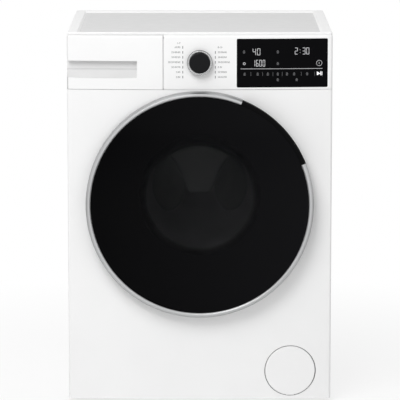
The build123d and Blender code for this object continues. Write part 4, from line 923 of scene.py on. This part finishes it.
@dataclass
class ControlPanel(Assembly):
    """Fascia with its dial, and the marks printed beside the dial."""

    FINISHES = {
        Finishes.FRONT_MOULDING: ("control_fascia",),
        Finishes.BLACK: ("knob_cap",),
        Finishes.KNOB_PLATING: ("knob_ring",),
    }

    tick_left: float = -38.0 * MM
    tick_right: float = 35.0 * MM
    tick_top: float = 814.2 * MM
    tick_pitch: float = 11.17 * MM
    tick_size: tuple[float, float] = (1.5 * MM, 5.6 * MM)
    proud: float = 0.12 * MM
    label_left: float = -43.4 * MM
    label_right: float = 40.2 * MM
    label_height: float = 4.0 * MM
    cap_share: float = 0.7
    extrusion: float = 0.02
    left_labels: tuple[str, ...] = (
        "60/90",
        "20/40/60",
        "30/40/60",
        "20/30/40/60",
        "30/40/90",
        "0:45",
        "0:30",
    )
    right_labels: tuple[str, ...] = ("20/30/40", "30/40/60", "20/30/40/60", "0:30", "20/30/60", "30/60/90")
    left_heading: str = "1-7"
    left_heading_row: float = -0.82
    right_heading: str = "8-13"

    def build(self) -> None:
        """Adds the dial's marks and numbers."""
        self.ticks()
        for row, text in enumerate(self.left_labels):
            self.number(f"dial_number_left_{row + 1}", text, self.label_left, row, "RIGHT")
        for row, text in enumerate(self.right_labels):
            self.number(f"dial_number_right_{row + 1}", text, self.label_right, row + 1, "LEFT")
        self.number("dial_heading_left", self.left_heading, self.label_left, self.left_heading_row, "RIGHT")
        self.number("dial_heading_right", self.right_heading, self.label_right, 0.0, "LEFT")

    def ticks(self) -> None:
        """Rows of short printed bars beside the dial, evenly spaced down each side."""
        left = self.tick_top - self.tick_pitch * np.arange(len(self.left_labels))
        right = self.tick_top - self.tick_pitch * np.arange(1, len(self.right_labels) + 1)
        z = np.concatenate([left, right])
        x = np.concatenate([np.full(left.shape, self.tick_left), np.full(right.shape, self.tick_right)])
        mark("dial_ticks", front_blocks(x, z, *self.tick_size, self.proud), Finishes.TICK_INK)

    def number(self, name: str, text: str, x: float, row: float, align: str) -> None:
        """Printed number beside a tick, as a thin solid wrapped onto the bowed front.

        Args:
            name: Name of the piece.
            text: The number.
            x: Where its text starts or ends.
            row: Its tick's row.
            align: Which end of the text is at x.
        """
        curve = bpy.data.curves.new(name + "_text", "FONT")
        curve.body = text
        curve.align_x = align
        curve.align_y = "CENTER"
        curve.size = 1.0
        curve.extrude = self.extrusion
        curve.resolution_u = 2
        holder = bpy.data.objects.new(name + "_text", curve)
        flat = bpy.data.meshes.new_from_object(holder)
        points = np.empty(len(flat.vertices) * 3)
        flat.vertices.foreach_get("co", points)
        points = points.reshape(-1, 3)
        scale = self.label_height / self.cap_share
        across = x + points[:, 0] * scale
        up = self.tick_top - self.tick_pitch * row + points[:, 1] * scale
        depth = bow(across) - np.sign(points[:, 2]) * self.proud
        placed = np.stack([across, depth, up], axis=-1)
        flat.vertices.foreach_set("co", placed.ravel())
        flat.update()
        bpy.data.objects.remove(holder)
        bpy.data.curves.remove(curve)
        made = bpy.data.objects.new(name, flat)
        flat.name = name
        bpy.context.scene.collection.objects.link(made)
        flat.materials.clear()
        flat.materials.append(Finishes.INK.material())
        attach(made, Body.CABINET.value)
        LOG.info("made %s", name)


@dataclass(frozen=True)
class Readout:
    """A row of seven-segment digits: its text, its lower left corner and the sizes of its digits."""

    text: str
    left: float
    bottom: float
    wide: float
    tall: float
    pitch: float
    stroke: float = 1.15 * MM
    shorter: float = 1.2

    def bars(self) -> np.ndarray:
        """Lit bars of the digits, each along its side of the digit's box.

        Returns:
            Rows of middle across, middle up, width and height.
        """
        s, wide, tall = self.stroke, self.wide, self.tall
        level = wide - self.shorter * s
        upright = tall / 2 - s
        sides = {
            "a": (wide / 2, tall - s / 2, level, s),
            "b": (wide - s / 2, tall * 0.75, s, upright),
            "c": (wide - s / 2, tall * 0.25, s, upright),
            "d": (wide / 2, s / 2, level, s),
            "e": (s / 2, tall * 0.25, s, upright),
            "f": (s / 2, tall * 0.75, s, upright),
            "g": (wide / 2, tall / 2, level, s),
            "m": (wide / 2, tall * 0.7, s, s),
            "n": (wide / 2, tall * 0.3, s, s),
        }
        lit = {"0": "abcdef", "1": "bc", "2": "abged", "3": "abgcd", "4": "fgbc", "6": "afgedc", ":": "mn"}
        found = np.array([sides[side] for digit in self.text for side in lit[digit]])
        steps = np.array([i for i, digit in enumerate(self.text) for _ in lit[digit]])
        found[:, 0] += self.left + steps * self.pitch
        found[:, 1] += self.bottom
        return found


@dataclass
class Display(Assembly):
    """Black window with the digits and signs that it shows, and the electronics behind it."""

    FINISHES = {
        Finishes.DISPLAY: ("display_window",),
        Finishes.LOCK: ("electronics",),
    }

    proud: float = 0.12 * MM
    bright_proud: float = 0.15 * MM
    readouts: tuple[Readout, ...] = (
        Readout("40", 118.7 * MM, 796.3 * MM, 7.2 * MM, 15.2 * MM, 9.9 * MM),
        Readout("1600", 118.7 * MM, 770.8 * MM, 5.4 * MM, 14.9 * MM, 7.5 * MM),
        Readout("2:30", 213.2 * MM, 797.7 * MM, 6.6 * MM, 15.2 * MM, 8.6 * MM),
    )
    line_ends: tuple[float, float] = (95.4 * MM, 271.9 * MM)
    line_z: float = 765.6 * MM
    line_dashes: int = 24
    dash_size: tuple[float, float] = (7.8 * MM, 0.9 * MM)
    row_z: float = 753.8 * MM
    separators: tuple[float, ...] = (0.1148, 0.141, 0.1642, 0.1851, 0.228, 0.2581)
    separator_size: tuple[float, float] = (0.5 * MM, 9.0 * MM)
    row_signs: tuple[float, ...] = (0.1006, 0.13, 0.1527, 0.175, 0.1959, 0.2119, 0.2411)
    other_signs: tuple[tuple[float, float], ...] = (
        (99.2 * MM, 803.7 * MM),
        (175.0 * MM, 803.7 * MM),
        (175.0 * MM, 777.3 * MM),
        (175.0 * MM, 740.8 * MM),
        (217.7 * MM, 740.8 * MM),
    )
    sign_widths: tuple[float, ...] = (3.2 * MM, 5.2 * MM, 4.2 * MM)
    sign_pitch: float = 2.4 * MM
    sign_tall: float = 1.0 * MM
    power_at: tuple[float, float] = (268.2 * MM, 778.0 * MM)
    power_ring: tuple[float, float] = (6.2 * MM, 0.8 * MM)
    power_bar: tuple[float, float] = (0.9 * MM, 5.0 * MM)
    spin_at: tuple[float, float] = (99.9 * MM, 777.3 * MM)
    spin_ring: tuple[float, float] = (2.4 * MM, 1.2 * MM)
    start_z: float = 754.5 * MM
    pause_x: tuple[float, float] = (271.6 * MM, 274.4 * MM)
    pause_size: tuple[float, float] = (1.3 * MM, 8.6 * MM)
    pointer_x: float = 265.7 * MM
    pointer_radius: float = 4.9 * MM

    def build(self) -> None:
        """Adds temperature, spin speed and time left, and the signs round them."""
        rows = np.concatenate([readout.bars() for readout in self.readouts])
        mark("display_digits", front_blocks(*rows.T, self.bright_proud), Finishes.LIT)
        self.rows()
        self.signs()
        self.ring("display_power_ring", *self.power_at, *self.power_ring)
        bar = front_blocks(*self.power_at, *self.power_bar, self.proud)
        mark("display_power_bar", bar, Finishes.LIT)
        self.ring("display_spin_ring", *self.spin_at, *self.spin_ring)
        pause = front_blocks(np.array(self.pause_x), self.start_z, *self.pause_size, self.bright_proud)
        mark("display_pause_bars", pause, Finishes.BRIGHT)
        self.pointer()

    def rows(self) -> None:
        """Line below the digits, of short dashes end to end, and the separators of the lower row."""
        dashes = np.linspace(*self.line_ends, self.line_dashes)
        mark("display_line", front_blocks(dashes, self.line_z, *self.dash_size, self.proud), Finishes.LIT)
        bars = front_blocks(np.array(self.separators), self.row_z, *self.separator_size, self.proud)
        mark("display_separators", bars, Finishes.DIM)

    def signs(self) -> None:
        """Small generic signs, each a stack of three bars of unlike widths."""
        spots = np.array([(x, self.row_z) for x in self.row_signs] + list(self.other_signs))
        up = spots[:, 1][:, None] + np.array([1.0, 0.0, -1.0]) * self.sign_pitch
        across = np.broadcast_to(spots[:, 0][:, None], up.shape)
        wide = np.broadcast_to(np.array(self.sign_widths), up.shape)
        stacks = front_blocks(across.ravel(), up.ravel(), wide.ravel(), self.sign_tall, self.proud)
        mark("display_signs", stacks, Finishes.DIM)

    def ring(self, name: str, x: float, z: float, radius: float, stroke: float) -> None:
        """Thin ring on the glass: a rectangle carried round a circle.

        Args:
            name: Name of the piece.
            x: Its middle across.
            z: Its middle up.
            radius: Radius of its middle line.
            stroke: Width of its line.
        """
        turn = np.linspace(np.pi / 2, 5 * np.pi / 2, 39, endpoint=False)
        radial = radius + np.array([-0.5, 0.5, 0.5, -0.5]) * stroke
        depth = np.array([-1.0, -1.0, 1.0, 1.0]) * self.proud
        across = x + radial[None] * np.cos(turn)[:, None]
        up = z + radial[None] * np.sin(turn)[:, None]
        points = np.stack([across, bow(across) + depth[None], up], axis=-1).reshape(-1, 3)
        mark(name, (points, grid_faces(len(turn), 4, True, True)), Finishes.LIT)

    def pointer(self) -> None:
        """Start sign: a three-cornered plate, its corners a third of a turn apart."""
        turn = np.array([0.0, 2 * np.pi / 3, 4 * np.pi / 3])
        size = np.array([0.0, 1.0, 1.0, 0.0])[:, None] * self.pointer_radius
        depth = np.array([1.0, 1.0, -1.0, -1.0])[:, None] * self.bright_proud
        across = self.pointer_x + size * np.cos(turn)
        up = self.start_z + size * np.sin(turn)
        points = np.stack([across, bow(across) + depth, up], axis=-1).reshape(-1, 3)
        mark("display_start_sign", (points, grid_faces(4, 3, close_cols=True)), Finishes.BRIGHT)


@dataclass
class Dispenser(Assembly):
    """Detergent drawer, the housing it slides in and the seam beside it."""

    FINISHES = {
        Finishes.DRAWER_FRONT: ("drawer_front",),
        Finishes.TRAY: ("drawer_tray",),
        Finishes.BLUE: ("siphon_cap",),
        Finishes.GREY: ("dispenser_housing",),
    }

    seam_left: float = -81.9 * MM
    seam_right: float = -81.15 * MM
    seam_middle: float = 778.0 * MM
    seam_tall: float = 112.0 * MM
    lip_thick: float = 1.4 * MM
    lip_sunk: float = 0.12 * MM

    def build(self) -> None:
        """Adds the fascia's lip behind its seam with the drawer: an upright strip that follows the bow."""
        middle = (self.seam_left + self.seam_right) / 2
        wide = self.seam_right - self.seam_left
        points, faces = front_blocks(middle, self.seam_middle, wide, self.seam_tall, self.lip_thick / 2)
        points[:, 1] += self.lip_thick / 2 + self.lip_sunk
        mark("fascia_seam_lip", (points, faces), Finishes.SEAM_LIP)


@dataclass
class Door(Assembly):
    """Ring, grip, windows, inner frame, hinge and lock."""

    FINISHES = {
        Finishes.PLATING: ("door_ring",),
        Finishes.GRIP: ("door_grip",),
        Finishes.SMOKED: ("door_window",),
        Finishes.GREY: ("door_frame",),
        Finishes.BOWL: ("door_bowl",),
        Finishes.STEEL: ("latch_hook",),
        Finishes.DIE_CAST: ("hinge_arm", "hinge_bracket"),
        Finishes.LOCK: ("door_lock",),
    }

    bowl_end: float = -149.0 * MM
    bowl_end_radius: float = 123.0 * MM
    bowl_sag: float = 3.0 * MM
    bowl_round: float = 22.0 * MM
    # Shape of the pale fan plate, which is painted light.
    fan_light_low: float = 9.0 * MM
    fan_light_narrow: float = 24.0 * MM
    fan_light_wide: float = 70.0 * MM
    fan_light_radius: float = 117.0 * MM
    leaf_across: float = 71.0 * MM
    leaf_up: float = 28.0 * MM
    leaf_size: tuple[float, float] = (38.0 * MM, 62.0 * MM)
    bulge: float = 3.0 * MM
    wall_gap: float = 0.2 * MM

    def build(self) -> None:
        """Adds forms inside the bowl's end: a pale fan-shaped plate at the top, painted light for the lit
        fan of the drum's back seen through the glass, and a leaf on each side.

        The plate widens evenly upwards to a circle about the axis; a leaf is an ellipse of rings.
        """
        u, t = np.meshgrid(np.linspace(-1.0, 1.0, 33), np.linspace(0.0, 1.0, 25), indexing="ij")
        x = u * (self.fan_light_narrow + (self.fan_light_wide - self.fan_light_narrow) * t)
        z = self.fan_light_low * (1.0 - t) + t * np.sqrt(self.fan_light_radius**2 - x**2)
        # The fan plate's paleness is painted light.
        self.lens("bowl_fan_facet", x, z, 4.0 * t * (1.0 - t) * (1.0 - u**2), Finishes.FACET)
        ring, turn = np.meshgrid(np.linspace(0.0, 1.0, 17), np.linspace(0.0, 2 * np.pi, 49), indexing="ij")
        for side, name in ((-1.0, "bowl_leaf_left"), (1.0, "bowl_leaf_right")):
            x = side * self.leaf_across + self.leaf_size[0] * ring * np.cos(turn)
            z = self.leaf_up + self.leaf_size[1] * ring * np.sin(turn)
            self.lens(name, x, z, 1.0 - ring**2, Finishes.LEAF)

    def lens(self, name: str, x: np.ndarray, z: np.ndarray, rise: np.ndarray, finish: Finish) -> None:
        """Lens on the bowl's inner end wall: a grid along the wall and one bulged from it, with one border.

        The wall falls off evenly with the radius, then turns forward in a quarter circle.

        Args:
            name: Name of the piece.
            x: Grid of distances across from the axis.
            z: Grid of heights over the axis.
            rise: Share of the bulge at each point, nought along the border.
            finish: What it is made of.
        """
        radius = np.hypot(x, z)
        bend = np.clip(radius - self.bowl_end_radius + self.bowl_round, 0.0, self.bowl_round)
        wall = self.bowl_end - self.bowl_sag * radius / self.bowl_end_radius
        wall = wall - self.bowl_round + np.sqrt(self.bowl_round**2 - bend**2) - self.wall_gap
        depths = np.stack([wall, wall - self.bulge * rise])
        points = np.stack(np.broadcast_arrays(x, depths, DOOR_Z + z), axis=-1)
        sheet = grid_faces(*x.shape)
        faces = np.concatenate([sheet, sheet + x.size])
        piece(name, points.reshape(-1, 3), faces, finish, Body.DOOR)


@dataclass
class Filter(Assembly):
    """Filter flap, cup and plug."""

    FINISHES = {
        Finishes.FRONT_MOULDING: ("filter_flap",),
        Finishes.GREY: ("filter_plug", "filter_cup"),
    }

    flap_x: float = 206.0 * MM
    flap_z: float = 73.0 * MM
    hole_radius: float = 58.6 * MM
    lip_wide: float = 0.6 * MM
    lip_seat: tuple[float, float] = (0.3 * MM, 1.2 * MM)
    lip_depths: tuple[float, float, float] = (0.95 * MM, 1.45 * MM, 2.2 * MM)

    def build(self) -> None:
        """Adds the stop lip behind the lower half of the flap's opening: a crescent, widest lowest."""
        turn = np.linspace(np.pi, 2 * np.pi, 65)
        inner = self.hole_radius + self.lip_wide * np.sin(turn)
        near, far = (np.full(turn.shape, self.hole_radius + reach) for reach in self.lip_seat)
        radial = np.stack([inner, near, near, far, far, inner], axis=-1)
        seat, front, back = self.lip_depths
        depth = np.array([front, front, seat, seat, back, back])
        across = self.flap_x + radial * np.cos(turn)[:, None]
        up = self.flap_z + radial * np.sin(turn)[:, None]
        points = np.stack([across, bow(across) + depth, up], axis=-1)
        corners = len(depth)
        faces = grid_faces(len(turn), corners, close_cols=True)
        ends = np.array([[0, 1, 4, 5], [1, 2, 3, 4]])
        faces = np.concatenate([faces, ends, ends + points.size // 3 - corners])
        mark("flap_opening_lip", (points.reshape(-1, 3), faces), Finishes.SEAM_LIP)


@dataclass
class Suspension(Assembly):
    """Soft and springy parts between the cabinet and the hanging tub, which bend as the tub bounces."""

    spring_x: float = 281.5 * MM
    spring_low: float = 606.4 * MM
    spring_high: float = 817.0 * MM
    spring_radius: float = 10.0 * MM
    wire: float = 2.0 * MM
    turns: int = 12
    lip: float = 173.5 * MM
    seal: float = 147.0 * MM
    lip_front: float = -244.5 * MM
    stub: float = 180.0 * MM
    tub_front: float = -202.0 * MM
    bellows_ends: tuple[float, float] = (-226.5 * MM, -214.5 * MM)
    fold_round: float = 0.22
    sump_corners: tuple[Point, ...] = (
        (95.0 * MM, -60.0 * MM, 189.0 * MM),
        (95.0 * MM, -60.0 * MM, 92.0 * MM),
        (95.0 * MM, -190.0 * MM, 92.0 * MM),
        (152.0 * MM, -190.0 * MM, 92.0 * MM),
    )
    sump_ends: tuple[float, float] = (100.0 * MM, 180.0 * MM)
    sump_bend: float = 32.0 * MM
    sump_radius: float = 23.0 * MM
    sump_rib: float = 0.9 * MM
    sump_pitch: float = 9.0 * MM
    sump_cuff: float = 22.0 * MM
    sump_fade: float = 6.0 * MM
    path_step: float = 1.5 * MM
    feed_x: float = -190.0 * MM
    feed_y: float = 20.0 * MM
    feed_low: float = 669.0 * MM
    feed_high: float = 734.0 * MM
    feed_ends: tuple[float, float] = (728.0 * MM, 676.0 * MM)
    feed_radius: float = 20.0 * MM
    feed_rib: float = 1.5 * MM
    feed_pitch: float = 7.0 * MM
    feed_ribs: tuple[float, float] = (683.0 * MM, 718.0 * MM)
    feed_fade: float = 2.0 * MM

    def build(self) -> None:
        """Adds the bellows, springs and hoses in place of their plain solids."""
        self.bellows()
        self.springs()
        self.sump_hose()
        self.dispenser_hose()

    def hang(self, made: bpy.types.Object, node: str, fixed: Point, moving: Point) -> None:
        """Puts a piece in a node's place: hides the node and bakes the piece's transform.

        Args:
            made: The piece.
            node: The node it stands for.
            fixed: Where it leaves the cabinet; not used.
            moving: Where it reaches the tub; not used.
        """
        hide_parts(node)
        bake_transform(made)

    def bellows(self) -> None:
        """Door gasket: a rounded loop of lip, fold and sealing tongue turned about the door axis."""
        lip, seal, front, stub, tub = self.lip, self.seal, self.lip_front, self.stub, self.tub_front
        section = np.array(
            [
                (lip + 7 * MM, front - 4 * MM),
                (lip + 7 * MM, front),
                (lip, front),
                (lip, front + 10 * MM),
                (lip - 5 * MM, front + 10 * MM),
                (lip - 5 * MM, front + 16 * MM),
                (stub + 5 * MM, front + 16 * MM),
                (stub + 5 * MM, tub - 2 * MM),
                (stub, tub - 2 * MM),
                (stub, tub - 12 * MM),
                (stub + 2 * MM, front + 19.5 * MM),
                (lip - 9 * MM, front + 19.5 * MM),
                (lip - 9 * MM, front + 12 * MM),
                (seal + 1 * MM, front + 18 * MM),
                (seal, front + 15 * MM),
                (lip - 12 * MM, front + 3 * MM),
                (lip - 10 * MM, front - 4 * MM),
            ]
        )
        points, faces = turned_surface(smooth_loop(section, 5, self.fold_round), 128)
        made = piece("door_bellows", points, faces, Finishes.GASKET, None)
        self.hang(made, "door_gasket", *((0.0, end, DOOR_Z) for end in self.bellows_ends))

    def springs(self) -> None:
        """Two coil springs: a round wire carried along a helix, the second a mirror of the first."""
        t = np.linspace(0.0, 1.0, self.turns * 24 + 1)
        turn = 2 * np.pi * self.turns * t
        rise = self.spring_low + (self.spring_high - self.spring_low) * t
        parts = []
        for side in (1.0, -1.0):
            across = side * (self.spring_x + self.spring_radius * np.cos(turn))
            path = np.stack([across, self.spring_radius * np.sin(turn), rise], axis=-1)
            parts.append(tube_surface(path, np.full(t.shape, self.wire), 8))
        points = np.concatenate([p for p, _ in parts])
        faces = np.concatenate([parts[0][1], parts[1][1] + len(parts[0][0])])
        made = piece("suspension_coils", points, faces, Finishes.STEEL, None)
        self.hang(made, "springs", (0.0, 0.0, self.spring_high), (0.0, 0.0, self.spring_low))

    def sump_hose(self) -> None:
        """Sump hose: a round section, ribbed by a sine, along straight runs joined by rounded turns."""
        path = self.route(np.array(self.sump_corners), self.sump_bend)
        along = run_lengths(path)
        inside = np.minimum(along, along[-1] - along) - self.sump_cuff
        wave = np.sin(along * 2 * np.pi / self.sump_pitch) - 1.0
        ribs = np.clip(inside / self.sump_fade, 0.0, 1.0) * wave
        points, faces = tube_surface(path, self.sump_radius + self.sump_rib * ribs, 28)
        made = piece("ribbed_sump_hose", points, faces, Finishes.RUBBER, None)
        x, y, _ = self.sump_corners[0]
        self.hang(made, "sump_hose", *((x, y, end) for end in self.sump_ends))

    def dispenser_hose(self) -> None:
        """Dispenser hose: a round section, ribbed by a sine over its middle, along an upright line."""
        rise = np.linspace(self.feed_low, self.feed_high, 90)
        path = np.stack([np.full(rise.shape, self.feed_x), np.full(rise.shape, self.feed_y), rise], axis=-1)
        first, last = self.feed_ribs
        inside = np.clip(np.minimum(rise - first, last - rise) / self.feed_fade, 0.0, 1.0)
        wave = 1.0 - np.cos((rise - first) * 2 * np.pi / self.feed_pitch)
        points, faces = tube_surface(path, self.feed_radius + inside * self.feed_rib * wave, 32)
        made = piece("ribbed_dispenser_hose", points, faces, Finishes.RUBBER, None)
        self.hang(made, "dispenser_hose", *((self.feed_x, self.feed_y, end) for end in self.feed_ends))

    def route(self, corners: np.ndarray, bend: float) -> np.ndarray:
        """Path along corners, each inner corner rounded by a quadratic curve, sampled closely.

        Args:
            corners: End points and corners.
            bend: How far before and after a corner its curve starts and ends.

        Returns:
            Points of the path, about one step apart.
        """
        inner = corners[1:-1]
        back = corners[:-2] - inner
        on = corners[2:] - inner
        first = inner + back / np.linalg.norm(back, axis=1, keepdims=True) * bend
        last = inner + on / np.linalg.norm(on, axis=1, keepdims=True) * bend
        t = np.linspace(0.0, 1.0, 24)[None, :, None]
        curve = first[:, None] * (1 - t) ** 2 + inner[:, None] * 2 * t * (1 - t) + last[:, None] * t**2
        rough = np.concatenate([corners[:1], curve.reshape(-1, 3), corners[-1:]])
        length = run_lengths(rough)
        spots = np.linspace(0.0, length[-1], int(length[-1] / self.path_step))
        return np.stack([np.interp(spots, length, rough[:, k]) for k in range(3)], axis=-1)


@dataclass
class Studio:
    """Pale floor, white surroundings, soft lamps and the camera."""

    camera_at: Point = (0.0006, -6.8915, 1.5302)
    camera_tilt: float = 80.89
    lens: float = 267.4
    sensor: float = 36.0
    sight: float = 100.0
    surroundings: float = 0.47
    floor_half: float = 9.0
    floor_drop: float = 0.2 * MM
    white_radii: tuple[float, float] = (0.35, 1.3)
    near_white: float = 0.8
    lamps: tuple[tuple[str, Point, Point, float, float], ...] = (
        ("key_lamp", (-1.5, -3.2, 4.1), (0.0, 0.0, 0.5), 2.6, 152.0),
        ("fill_lamp", (2.8, -4.2, 1.6), (0.0, 0.0, 0.4), 2.4, 16.0),
    )

    def build(self) -> None:
        """Adds floor, surroundings, lamps and camera."""
        self.floor()
        self.world()
        for name, at, towards, size, power in self.lamps:
            self.lamp(name, at, towards, size, power)
        self.camera()

    def floor(self) -> None:
        """Wide level sheet just under the feet, a flat function of two parameters."""
        side = np.linspace(-self.floor_half, self.floor_half, 3)
        u, v = np.meshgrid(side, side, indexing="ij")
        points = np.stack([u, v, np.full(u.shape, -self.floor_drop)], axis=-1).reshape(-1, 3)
        mesh = bpy.data.meshes.new("studio_floor")
        mesh.from_pydata(points.tolist(), [], grid_faces(3, 3)[:, ::-1].tolist())
        made = bpy.data.objects.new("studio_floor", mesh)
        bpy.context.scene.collection.objects.link(made)
        mesh.materials.append(self.floor_finish())

    def floor_finish(self) -> bpy.types.Material:
        """Pale matt floor that shows white away from the object and keeps the object's shadow beside it.

        Returns:
            The floor's material.
        """
        shader = Finish("studio_floor_finish", "worktop", (0.86, 0.86, 0.86), 0.8).mix()
        radius = shader.distance((0.0, 0.0, 0.0), (1.0, 1.0, 1.0))
        seen = shader.add("ShaderNodeMath")
        seen.operation = "MULTIPLY"
        shader.join(shader.add("ShaderNodeLightPath").outputs["Is Camera Ray"], seen.inputs[0])
        shader.join(shader.ranged(radius, *self.white_radii, self.near_white), seen.inputs[1])
        glow = shader.add("ShaderNodeEmission", Color=(1.0, 1.0, 1.0, 1.0), Strength=1.0)
        blend = shader.add("ShaderNodeMixShader")
        shader.join(seen.outputs[0], blend.inputs["Fac"])
        shader.join(shader.surface.outputs["BSDF"], blend.inputs[1])
        shader.join(glow.outputs["Emission"], blend.inputs[2])
        shader.join(blend.outputs["Shader"], shader.tree.nodes["Material Output"].inputs["Surface"])
        return shader.made

    def world(self) -> None:
        """White to the camera and in reflections, an even grey light on everything else."""
        world = bpy.data.worlds.new("studio_surroundings")
        bpy.context.scene.world = world
        world.use_nodes = True
        tree = world.node_tree
        path = tree.nodes.new("ShaderNodeLightPath")
        shown = tree.nodes.new("ShaderNodeMath")
        shown.operation = "MAXIMUM"
        tree.links.new(path.outputs["Is Camera Ray"], shown.inputs[0])
        bright = tree.nodes.new("ShaderNodeMath")
        bright.operation = "MAXIMUM"
        tree.links.new(path.outputs["Is Glossy Ray"], bright.inputs[0])
        tree.links.new(path.outputs["Is Transmission Ray"], bright.inputs[1])
        tree.links.new(bright.outputs[0], shown.inputs[1])
        strength = tree.nodes.new("ShaderNodeMapRange")
        strength.inputs["To Min"].default_value = self.surroundings
        strength.inputs["To Max"].default_value = 1.0
        tree.links.new(shown.outputs[0], strength.inputs["Value"])
        back = tree.nodes["Background"]
        back.inputs["Color"].default_value = (1.0, 1.0, 1.0, 1.0)
        tree.links.new(strength.outputs["Result"], back.inputs["Strength"])

    def lamp(self, name: str, at: Point, towards: Point, size: float, power: float) -> None:
        """Square soft lamp turned towards a point.

        Args:
            name: Its name.
            at: Where it hangs.
            towards: The point that it faces.
            size: Its side.
            power: Its power in watts.
        """
        light = bpy.data.lights.new(name, "AREA")
        light.size = size
        light.energy = power
        made = bpy.data.objects.new(name, light)
        made.location = at
        made.rotation_euler = (Vector(towards) - Vector(at)).to_track_quat("-Z", "Y").to_euler()
        bpy.context.scene.collection.objects.link(made)

    def camera(self) -> None:
        """Camera at the picture's viewing angle, without shift or depth of field."""
        data = bpy.data.cameras.new("studio_camera")
        data.lens = self.lens
        data.sensor_width = self.sensor
        data.clip_end = self.sight
        made = bpy.data.objects.new("studio_camera", data)
        made.location = self.camera_at
        made.rotation_euler = (math.radians(self.camera_tilt), 0.0, 0.0)
        bpy.context.scene.collection.objects.link(made)
        bpy.context.scene.camera = made


def main() -> None:
    """Loads the model, dresses every group and sets the studio."""
    logging.basicConfig(level=logging.INFO, format="%(name)s: %(message)s")
    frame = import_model()
    bpy.context.scene.view_settings.view_transform = "Standard"
    for group in (Cabinet, ControlPanel, Display, Dispenser, Door, Filter, Drive, Suspension):
        assembly = group(frame["nodes"])
        assembly.build()
        assembly.dress()
        LOG.info("finished %s", group.__name__)
    Studio().build()


if __name__ == "__main__":
    main()
